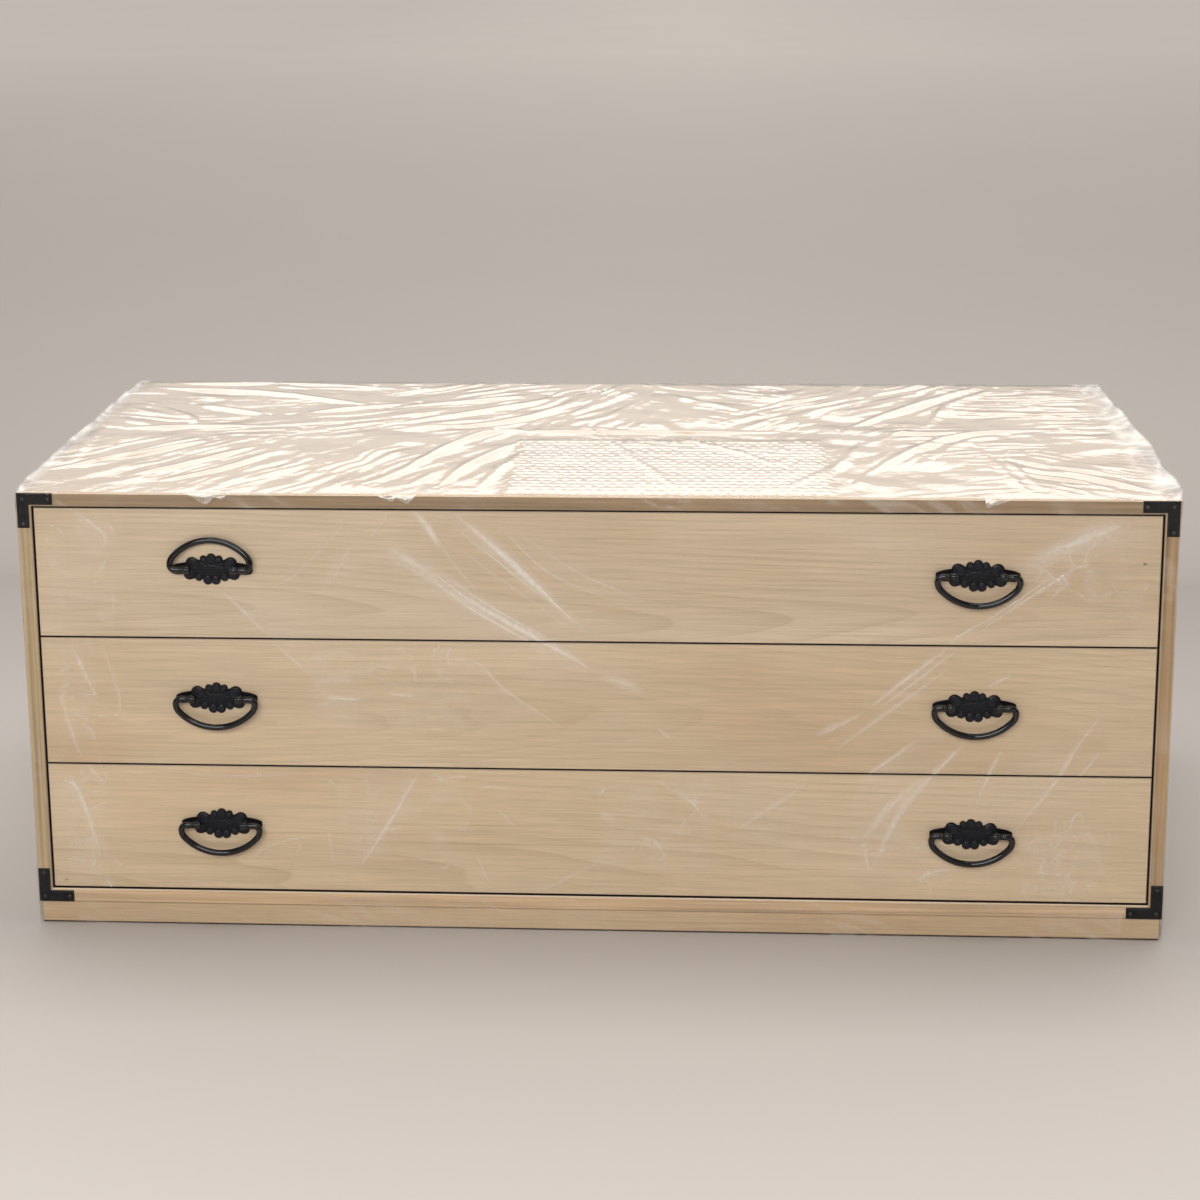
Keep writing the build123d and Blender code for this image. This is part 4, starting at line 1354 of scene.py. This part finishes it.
def over_bubbles(x, y):
    """1 over the bubble sheet and 0 away from it, for places in millimetres."""
    low = (BUBBLE_LOW.x / MM, BUBBLE_LOW.y / MM)
    high = (BUBBLE_HIGH.x / MM, BUBBLE_HIGH.y / MM)
    away = np.clip(-inset(x, y, low, high), 0, None)
    hem = np.clip(0.4 + (y - FRONT) / 90, 0, 1)
    return np.clip(1 - away / 14, 0, 1) ** 2 * hem * (2 - hem)


def bubble_dome(x, y):
    """1 at the middle of each bubble, 0 between them, for places in millimetres."""
    pitch = bpy.context.scene.chest_film.bubble_pitch / MM
    row_pitch = pitch * math.sqrt(3) / 2
    from_x = x - BUBBLE_LOW.x / MM
    from_y = y - BUBBLE_LOW.y / MM
    best = np.full(x.shape, 1e9)
    for shift in (0, 1):
        row = np.round(from_y / row_pitch / 2 - shift / 2) * 2 + shift
        half_step = 0.5 * (row % 2)
        column = np.round(from_x / pitch - half_step)
        away = np.hypot(from_x - (column + half_step) * pitch, from_y - row * row_pitch)
        best = np.minimum(best, away)
    return np.clip(1 - (best / BUBBLE_RADIUS) ** 2, 0, 1)


# Ripples of the film over the top: middle x and y, reach, heading in degrees, pitch and height.
TOP_RIPPLES = (
    (-440, 180, 100, -12, 16, 1.3),
    (-320, 195, 110, -7, 20, 1.4),
    (-470, 60, 90, -30, 13, 1.2),
    (-380, 40, 100, 2, 11, 1.1),
    (-450, -90, 100, 42, 13, 1.3),
    (-340, -120, 100, 50, 12, 1.3),
    (-300, 70, 100, 20, 12, 1.2),
    (-215, -130, 80, 60, 12, 1.2),
    (-150, 130, 110, 26, 18, 1.5),
    (-120, -110, 90, 58, 18, 1.4),
    (-40, 110, 90, 52, 16, 1.5),
    (50, 90, 80, 66, 14, 1.3),
    (110, 140, 90, -30, 13, 1.2),
    (190, 90, 90, 42, 14, 1.4),
    (310, 150, 90, 46, 18, 1.5),
    (430, 160, 80, 2, 9, 1.0),
    (440, 60, 90, 0, 10, 1.1),
    (270, -110, 100, 50, 16, 1.4),
    (380, -60, 90, 6, 10, 1.1),
    (440, -130, 80, -30, 13, 1.2),
    (330, -190, 70, 12, 10, 0.9),
    (60, -90, 120, -14, 12, 0.5),
)
FOLD_SPREAD = 1.55
FRONT_RAMP = 18.0


def top_height(x, y):
    """How far the film stands over the case's top, in millimetres."""
    height = 0.5 + 1.6 * swell(x / 110, y / 90, 4)
    ripples = np.zeros(x.shape)
    total = np.full(x.shape, 1e-4)
    for k, (middle_x, middle_y, span, heading, pitch, rise) in enumerate(TOP_RIPPLES):
        weight = np.exp(-3.0 * ((x - middle_x) ** 2 + (y - middle_y) ** 2) / span ** 2)
        wave = crests(x, y, heading, 16 * pitch, pitch, 40 + k, 1.0, 0.9)
        fine = crests(x, y, heading + 12, 9 * pitch, 0.55 * pitch, 80 + k, 1.0, 0.9)
        tiny = crests(x, y, heading - 9, 7 * pitch, 0.33 * pitch, 160 + k, 1.0, 0.9)
        wave = wave * (0.3 + 1.2 * swell(x / 60, y / 50, 120 + k)) + 0.5 * fine + 0.3 * tiny
        ripples += weight * rise * wave
        total += weight
    calm = np.clip(1.5 * swell(x / 75 + 3.7, y / 48, 35) - 0.1, 0.15, 1.15)
    inward = np.clip((HALF - np.abs(x)) / 34, 0, 1)
    height += 1.12 * ripples / total * calm * (0.2 + 0.8 * inward)
    height += 1.3 * facets(x / 38 + swell(x / 50, y / 50, 8), y / 27, 5) * (1.3 - calm)
    for rise, wide, places in TOP_FOLDS:
        line = smooth_line(places)
        wide *= FOLD_SPREAD
        close = beside_line(x, y, line, wide)
        if not close.any():
            continue
        away, share, behind = near_line(x[close], y[close], line)
        taper = hump(share, 0.5)
        flank = np.where(behind > 0, 0.45 * wide, wide) * np.clip(taper, 0.2, 1)
        tent = np.clip(1 - away / flank, 0, 1)
        height[close] = height[close] * (1 - 0.6 * tent) + 1.15 * rise * taper * tent
    depth = y - FRONT
    front = np.clip(depth / FRONT_RAMP, 0, 1)
    free = 0.45 + 0.55 * np.clip(depth / 160, 0, 1)
    rear = np.clip((BACK - y) / 20, 0, 1)
    lift = 0.10 + 0.30 * swell(x / 55, y / 90, 36)
    height = (0.1 + lift * front) * (0.35 + 0.65 * rear) + height * free * (0.2 + 0.8 * rear)
    bubbled = over_bubbles(x, y)
    return height * (1 - 0.35 * bubbled) + (2.2 + 0.55 * bubble_dome(x, y)) * bubbled


def side_creases(y, z, sign):
    """Long creases over a side, from 0 to 1: steep ones and slanted ones."""
    steep = crests(y, z, 84, 180, 22, 73 + sign) * swell(y / 90, z / 120, 81)
    slanted = crests(y, z, 45, 120, 20, 77 + sign) * swell(y / 120, z / 90, 83)
    return steep, slanted


def back_creases(x, z):
    """Long creases over the back, from 0 to 1, that lean both ways."""
    leaning = crests(x, z, 30, 190, 24, 93) * swell(x / 140, z / 90, 95)
    crossing = crests(x, z, 140, 160, 22, 94) * swell(x / 120, z / 90, 96)
    return leaning, crossing


# How far the film stands out along the top edge of the left and right side, and how far down it does.
PUFF = {-1: 6.0, 1: 11.0}
PUFF_REACH = 60


def side_height(y, z, sign):
    """How far the film stands out from a side, in millimetres."""
    near_top = np.clip(1 - (TOP - z) / PUFF_REACH, 0, 1)
    puff = PUFF[sign] * near_top ** 1.5
    height = 2.2 * facets(y / 42, z / 46, 71 + sign) + 0.9 * facets(y / 17, z / 19, 75 + sign)
    steep, slanted = side_creases(y, z, sign)
    height += 2.4 * steep + 2.2 * slanted
    height = 0.5 + height * (1 - 0.75 * near_top)
    bulge = 0.65 + 0.5 * facets(y / 70, z / 50, 85 + sign) + 0.12 * facets(y / 26, z / 30, 87 + sign)
    height += puff * bulge
    rail = np.clip((y - FRONT) / 45, 0, 1)
    return height * (0.12 + 0.88 * rail)


def back_height(x, z):
    """How far the film stands out from the back, in millimetres."""
    height = 0.5 + 2.2 * facets(x / 50, z / 44, 91) + 0.9 * facets(x / 19, z / 17, 92)
    leaning, crossing = back_creases(x, z)
    height += 2.6 * leaning + 2.2 * crossing
    return height


def front_height(x, z):
    """How far the film stands out from the rails and stiles, in millimetres."""
    height = 0.35 + 0.5 * facets(x / 17, z / 9, 101) + 0.3 * swell(x / 8, z / 6, 102)
    corner_x = HALF - np.abs(x)
    for z_corner, up in ((TOP, -1), (FOOT, 1)):
        v = (z - z_corner) * up
        away_long = np.maximum(np.maximum(-v, v - BRACKET_LEG), np.maximum(corner_x - BRACKET_WIDTH, 0))
        away_tall = np.maximum(np.maximum(-v, v - BRACKET_WIDTH), np.maximum(corner_x - BRACKET_LEG, 0))
        away = np.clip(np.minimum(away_long, away_tall), 0, None)
        height = np.maximum(height, 2.35 * np.clip(1 - away / 7, 0, 1) ** 1.5 + 0.2 * height)
    return height


def fall_off(distance, span):
    """1 on a face, falling to 0 at a distance from it."""
    t = np.clip(1 - distance / span, 0, 1)
    return t * t * (3 - 2 * t)


# How far a face's wrinkles reach round its edges onto the next face, and how far those of the front do.
SOFT_CORNER = 26
FRONT_CORNER = 9


def film_place(points):
    """Places of the film round the case, from places on the case's box, in millimetres."""
    x, y, z = points.T
    up = top_height(x, y) * fall_off(TOP - z, SOFT_CORNER)
    left = side_height(y, z, -1) * fall_off(HALF + x, SOFT_CORNER)
    right = side_height(y, z, 1) * fall_off(HALF - x, SOFT_CORNER)
    rear = back_height(x, z) * fall_off(BACK - y, SOFT_CORNER)
    forth = front_height(x, z) * fall_off(y - FRONT, FRONT_CORNER)
    return np.stack([x - left + right, y - forth + rear, z + up], -1)


def steps_between(stops, pitch):
    """Rising places that hit every stop, about a pitch apart."""
    places = [stops[0]]
    for a, b in zip(stops, stops[1:]):
        count = max(1, int(round((b - a) / pitch)))
        places.extend(np.linspace(a, b, count + 1)[1:])
    return np.array(places)


# Loose flaps of film over the top's front edge: x from, x to, x of the tip and drop, in millimetres.
FLAPS = (
    (-369, -338, -350, 8.5),
    (-352, -330, -336, 4.0),
    (-196, -176, -180, 5.0),
    (-182, -158, -166, 6.5),
    (352, 378, 355, 6.5),
)
FLAP_GRID = (7, 9)


def flap_parts():
    """Points and faces of the loose flaps, in millimetres."""
    columns, rows = FLAP_GRID
    across, down = np.meshgrid(np.linspace(0, 1, columns), np.linspace(0, 1, rows), indexing="ij")
    u = across.ravel()
    v = down.ravel()
    parts = []
    for first, last, tip, drop in FLAPS:
        x = (1 - v) * (first + (last - first) * u) + v * (tip + 3 * (u - 0.5))
        y = FRONT - 0.8 - 1.8 * np.sin(v * 1.8) - 0.8 * np.sin(u * math.pi) * v
        z = TOP + 1.2 - v * (drop + 1.2)
        parts.append((np.stack([x, y, z], -1), grid_faces(columns, rows)))
    return parts


class CHEST_OT_case_film(bpy.types.Operator):
    """Builds the wrinkled film over the top, sides, back and frame of the case"""

    bl_idname = "chest.case_film"
    bl_label = "Film round the case"

    # Size of the corner brackets with a margin, in millimetres.
    BRACKET_REACH = 35.5
    # Places over the floor where the mesh begins and where it turns finer, and its pitches up the sides.
    HEM = 0.4
    MIDDLE = 240
    FINE = 2.6
    MEDIUM = 4.5
    COARSE = 6.5
    # Depth of the strip along the top's front edge, and how near a point on a face lies to it.
    STRIP = 30
    TOUCH = 0.01
    # How much longer the wrinkled film is than the box that it covers.
    SLACK = 1.03

    def execute(self, context):
        pitch = context.scene.chest_film.grid / MM
        xs = steps_between([-HALF, -MOUTH, MOUTH, HALF], pitch)
        ys = steps_between([FRONT, FRONT + self.STRIP, BACK], pitch)
        zs = np.concatenate([
            steps_between([self.HEM, FOOT, MOUTH_FLOOR], self.FINE),
            steps_between([MOUTH_FLOOR, self.MIDDLE], self.COARSE)[1:],
            steps_between([self.MIDDLE, MOUTH_ROOF], self.MEDIUM)[1:],
            steps_between([MOUTH_ROOF, TOP], self.FINE)[1:]])
        panels = []

        def panel(first, second, place, flip, keep=None):
            a, b = np.meshgrid(first, second, indexing="ij")
            faces = grid_faces(len(first), len(second))
            if keep is not None:
                middle_a = a.ravel()[faces].mean(1)
                middle_b = b.ravel()[faces].mean(1)
                faces = faces[keep(middle_a, middle_b)]
            points = place(a.ravel(), b.ravel())
            panels.append((points, faces[:, ::-1] if flip else faces))

        def like(value, other):
            return np.full(other.shape, value)

        panel(xs, ys, lambda a, b: np.stack([a, b, like(TOP, a)], -1), True)
        panel(ys, zs, lambda a, b: np.stack([like(-HALF, a), a, b], -1), False)
        panel(ys, zs, lambda a, b: np.stack([like(HALF, a), a, b], -1), True)
        panel(xs, zs, lambda a, b: np.stack([a, like(BACK, a), b], -1), False)
        panel(xs, zs, lambda a, b: np.stack([a, like(FRONT, a), b], -1), True,
              lambda a, b: (np.abs(a) > MOUTH) | (b < MOUTH_FLOOR) | (b > MOUTH_ROOF))
        base, faces = joined(panels)
        used, faces = packed(faces)
        base, faces = welded(base[used] * MM, faces)
        base = base / MM
        points = film_place(base)
        x, y, z = base.T
        on_front = y < FRONT + self.TOUCH
        # White over the film is partly its own whitening where crumpled and partly painted glare. It lies on
        # facets, a little over the sides, on the sides' and back's creases, along the puffed top edges, in
        # streaks over the frame and on the flaps.
        fold = 0.12 * facets(x / 23 + y / 31, z / 19 + y / 27, 111) ** 2
        fold *= ~on_front
        side = (np.abs(x) > HALF - self.TOUCH) & (y > FRONT + 20)
        band = np.where(x < 0, 13.0, 24.0)
        edge = (np.abs(x) > HALF - band) & (z > TOP - 14) & ~on_front
        for sign in (-1, 1):
            on_side = (x * sign > HALF - self.TOUCH) & (y > FRONT + 5)
            fold += 0.55 * on_side * np.clip(sum(side_creases(y, z, sign)), 0, 1)
        on_back = y > BACK - self.TOUCH
        fold += 0.55 * on_back * np.clip(sum(back_creases(x, z)), 0, 1)
        patchy = facets(x / 9 + z / 11, y / 26, 113)
        ridge = crests(y, np.abs(x) - z, 18, 70, 9, 117)
        fade = np.clip((np.abs(x) - (HALF - band)) / 9, 0, 1)
        fold = fold + 0.14 * side + (0.04 + 0.30 * patchy ** 2 + 0.70 * ridge) * edge * fade
        streak = crests(x, z, -24, 60, 8, 119, 4.0) * swell(x / 60, z / 50, 121) ** 2
        from_corner = np.minimum(z - FOOT, TOP - z)
        free = np.maximum(HALF - np.abs(x) > self.BRACKET_REACH, from_corner > self.BRACKET_REACH)
        fold += 0.50 * streak * free * on_front
        loose, loose_faces = joined(flap_parts())
        faces = np.concatenate([faces, loose_faces + len(points)])
        points = np.concatenate([points, loose])
        fold = np.concatenate([fold, 0.20 + 0.30 * facets(loose[:, 0] / 7, loose[:, 2] / 5, 115)])
        piece = quad_mesh("film_round_case", points * MM, faces, {"fold": fold})
        piece.data.materials.append(film_material("wrap_film_case", 0.08))
        piece.data.materials.append(film_material("wrap_film_frame", 0.22, haze=0.002, gloss_share=0.22))
        front_faces = on_front[faces[:-len(loose_faces)]].all(1)
        slots = np.concatenate([front_faces, np.zeros(len(loose_faces))]).astype(np.int32)
        piece.data.polygons.foreach_set("material_index", slots)
        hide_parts("film_wrap")
        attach(piece, "case")
        return {"FINISHED"}


class CHEST_OT_bubble_sheet(bpy.types.Operator):
    """Builds the piece of bubble sheet that lies on the top under the film"""

    bl_idname = "chest.bubble_sheet"
    bl_label = "Bubble sheet"

    # Height of a bubble, pitch of the mesh, and the creases where the bubbles are pressed flat.
    RISE = 2.6
    STEP = 1.3
    CREASES = (((-75, -165), (0, -164), (120, -166), (215, -163)),
               ((-7, -42), (30, -95), (58, -157), (80, -209)),
               ((58, -42), (100, -66), (134, -98), (182, -144)))

    def execute(self, context):
        low = BUBBLE_LOW / MM
        high = BUBBLE_HIGH / MM
        xs = steps_between([low.x, high.x], self.STEP)
        ys = steps_between([low.y, high.y], self.STEP)
        x, y = np.meshgrid(xs, ys, indexing="ij")
        inside = bubble_dome(x, y)
        height = 0.25 + self.RISE * inside ** 0.45
        for places in self.CREASES:
            away, _, _ = near_line(x, y, smooth_line(places))
            height *= 1 - 0.8 * np.exp(-(away / 3.0) ** 2)
        hem = np.clip((y - low.y) / 14, 0, 1)
        height *= 0.12 + 0.88 * hem * (2 - hem)
        z = TOP + 0.15 + height
        front = np.stack([x.ravel(), y.ravel(), z.ravel()], -1)
        faces = grid_faces(len(xs), len(ys))
        inner = inset(x, y, low, high)
        white = (0.05 + 0.11 * inside ** 0.5) * np.clip(inner / 34, 0, 1)
        piece = quad_mesh("bubbled_sheet", front * MM, faces[:, ::-1], {"fold": white.ravel()})
        piece.data.materials.append(
            film_material("bubble_film", 0.2, haze=0.0, roughness=0.20, white_and_glare_share=1.0, gloss_share=0.45))
        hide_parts("bubble_sheet")
        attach(piece, "case")
        return {"FINISHED"}


# ---- Stage ----


class CHEST_OT_stage(bpy.types.Operator):
    """Builds the floor, the lamps, the surroundings and the camera"""

    bl_idname = "chest.stage"
    bl_label = "Stage"

    # Place of the camera, its turns in radians, its lens in millimetres and its shift upward.
    CAMERA = (0.0940, -1.9997, 0.9390)
    YAW = -0.0476
    PITCH = 0.1813
    ROLL = -0.0062
    LENS = 61.37
    SHIFT = -0.26
    # Level of the light from all round: (sine of the height above the horizon, level).
    SKY_BAND = ((0.0, 0.15), (0.12, 0.22), (0.20, 0.345), (0.285, 0.36), (0.33, 1.0), (0.58, 1.0),
                (0.66, 0.34), (1.0, 0.26))
    # Level of the same light in front of the chest, as a share of the level behind it.
    SKY_FRONT = 0.22
    # The light from all round changes from the front level to the other between these values of y.
    SKY_TURN = (-0.25, 0.30)
    # Name, place, target, size, power setting and colour of each lamp.
    LAMPS = (("key_lamp", (-0.45, -3.3, 2.1), (0, 0, 0.2), (2.6, 1.1), "key_power", (1.0, 0.99, 0.97)),
             ("top_lamp", (0.1, 0.1, 2.6), (0.1, 0.0, 0.2), (2.2, 1.2), "top_power", (1.0, 0.99, 0.98)))
    FLOOR_REACH = 60.0
    # Where the floor goes from one tone to the next, from and to, along y. The floor darkens toward the
    # chest's front and close behind it, which is painted shade, and turns lighter far off.
    NEAR_TO_MIDDLE = (-0.75, -0.26)
    MIDDLE_TO_BEHIND = (0.0, 0.8)
    BEHIND_TO_FAR = (0.8, 12.0)

    def floor_material(self, s):
        r = Recipe("floor_paper")
        place = r.parts(r.place())
        slow = r.noise(r.vector(place[0], place[1], 0.0), 1.3, 3.0, 0.5)
        tone = r.mix(r.span(place[1], *self.NEAR_TO_MIDDLE), tuple(s.floor_near), tuple(s.floor_middle))
        tone = r.mix(r.span(place[1], *self.MIDDLE_TO_BEHIND), tone, tuple(s.floor_behind))
        distance = r.math("POWER", r.span(place[1], *self.BEHIND_TO_FAR), 0.5)
        tone = r.mix(distance, tone, tuple(s.floor_far))
        # Painted shade: behind the chest, the floor is darker toward the sides.
        aside = r.times(r.span(r.absolute(place[0]), 0.2, 3.0), r.span(place[1], 0.0, 0.5))
        shade = r.times(r.span(slow, 0.2, 0.8, 0.987, 1.013), r.span(aside, 0.0, 1.0, 1.0, 0.90))
        tone = r.shaded(tone, shade)
        grit = r.noise(r.vector(place[0], place[1], 0.0), 700.0, 2.0)
        return r.solid({"Base Color": tone, "Roughness": 0.85, "Specular IOR Level": 0.2,
                        "Normal": r.bump(grit, 0.05, 0.0005)})

    def lamp(self, name, place, target, size, power, colour):
        data = bpy.data.lights.new(name, "AREA")
        data.shape = "RECTANGLE"
        data.size, data.size_y = size
        data.energy = power
        data.color = colour
        thing = bpy.data.objects.new(name, data)
        bpy.context.scene.collection.objects.link(thing)
        thing.location = place
        thing.rotation_euler = (Vector(target) - Vector(place)).to_track_quat("-Z", "Y").to_euler()
        thing.visible_camera = False

    def execute(self, context):
        s = context.scene.chest_stage
        steps = np.concatenate([[-self.FLOOR_REACH], np.linspace(-6, 6, 13), [self.FLOOR_REACH]])
        x, y = np.meshgrid(steps, steps, indexing="ij")
        points = np.stack([x.ravel(), y.ravel(), np.zeros(x.size)], -1)
        floor = quad_mesh("floor", points, grid_faces(len(steps), len(steps)))
        floor.data.materials.append(self.floor_material(s))

        world = bpy.data.worlds.new("studio")
        context.scene.world = world
        world.use_nodes = True
        tree = world.node_tree
        background = tree.nodes["Background"]
        direction = tree.nodes.new("ShaderNodeTexCoord")
        split = tree.nodes.new("ShaderNodeSeparateXYZ")
        ramp = tree.nodes.new("ShaderNodeValToRGB")
        tree.links.new(direction.outputs["Generated"], split.inputs[0])
        tree.links.new(split.outputs["Z"], ramp.inputs["Fac"])
        side = tree.nodes.new("ShaderNodeMapRange")
        for key, value in (("From Min", self.SKY_TURN[0]), ("From Max", self.SKY_TURN[1]),
                           ("To Min", self.SKY_FRONT * s.sky), ("To Max", s.sky)):
            side.inputs[key].default_value = value
        tree.links.new(split.outputs["Y"], side.inputs["Value"])
        tree.links.new(side.outputs[0], background.inputs["Strength"])
        tree.links.new(ramp.outputs["Color"], background.inputs["Color"])
        while len(ramp.color_ramp.elements) < len(self.SKY_BAND):
            ramp.color_ramp.elements.new(1.0)
        for element, (height, level) in zip(ramp.color_ramp.elements, self.SKY_BAND):
            element.position = height
            element.color = (level, level * 0.99, level * 0.975, 1.0)
        for name, place, target, size, power, colour in self.LAMPS:
            self.lamp(name, place, target, size, getattr(s, power), colour)

        camera_data = bpy.data.cameras.new("camera")
        camera_data.lens = self.LENS
        camera_data.sensor_width = 36.0
        camera_data.shift_y = self.SHIFT
        camera_data.clip_end = 200.0
        camera = bpy.data.objects.new("camera", camera_data)
        context.scene.collection.objects.link(camera)
        ahead = Vector((math.sin(self.YAW) * math.cos(self.PITCH), math.cos(self.YAW) * math.cos(self.PITCH),
                        -math.sin(self.PITCH)))
        right = Vector((math.cos(self.YAW), -math.sin(self.YAW), 0.0))
        above = right.cross(ahead)
        turned_right = right * math.cos(self.ROLL) + above * math.sin(self.ROLL)
        turned_above = above * math.cos(self.ROLL) - right * math.sin(self.ROLL)
        rotation = camera.matrix_world.to_3x3()
        rotation.col[0] = turned_right
        rotation.col[1] = turned_above
        rotation.col[2] = -ahead
        camera.rotation_euler = rotation.to_euler()
        camera.location = self.CAMERA
        context.scene.camera = camera
        context.scene.view_settings.view_transform = "Standard"
        return {"FINISHED"}


class CHEST_PT_panel(bpy.types.Panel):
    """Sizes, colours and pieces of the wrapped chest"""

    bl_idname = "CHEST_PT_panel"
    bl_label = "Wrapped chest"
    bl_space_type = "VIEW_3D"
    bl_region_type = "UI"
    bl_category = "Chest"

    def draw(self, context):
        for name in SETTINGS:
            box = self.layout.box()
            group = getattr(context.scene, name)
            for key in group.__annotations__:
                box.prop(group, key)
        for operator in OPERATORS:
            self.layout.operator(operator.bl_idname)


SETTINGS = {
    "chest_wood": ChestWood,
    "chest_iron": ChestIron,
    "chest_film": ChestFilm,
    "chest_stage": ChestStage,
}
OPERATORS = (
    CHEST_OT_stage,
    CHEST_OT_boards,
    CHEST_OT_corner_brackets,
    CHEST_OT_handle_plates,
    CHEST_OT_handle_posts,
    CHEST_OT_bails,
    CHEST_OT_drawer_films,
    CHEST_OT_bubble_sheet,
    CHEST_OT_case_film,
)


def register():
    for name, group in SETTINGS.items():
        bpy.utils.register_class(group)
        setattr(bpy.types.Scene, name, bpy.props.PointerProperty(type=group))
    for operator in OPERATORS:
        bpy.utils.register_class(operator)
    bpy.utils.register_class(CHEST_PT_panel)


def unregister():
    bpy.utils.unregister_class(CHEST_PT_panel)
    for operator in reversed(OPERATORS):
        bpy.utils.unregister_class(operator)
    for name, group in SETTINGS.items():
        delattr(bpy.types.Scene, name)
        bpy.utils.unregister_class(group)


def main():
    register()
    for operator in OPERATORS:
        group, name = operator.bl_idname.split(".")
        getattr(getattr(bpy.ops, group), name)()


if __name__ == "__main__":
    main()
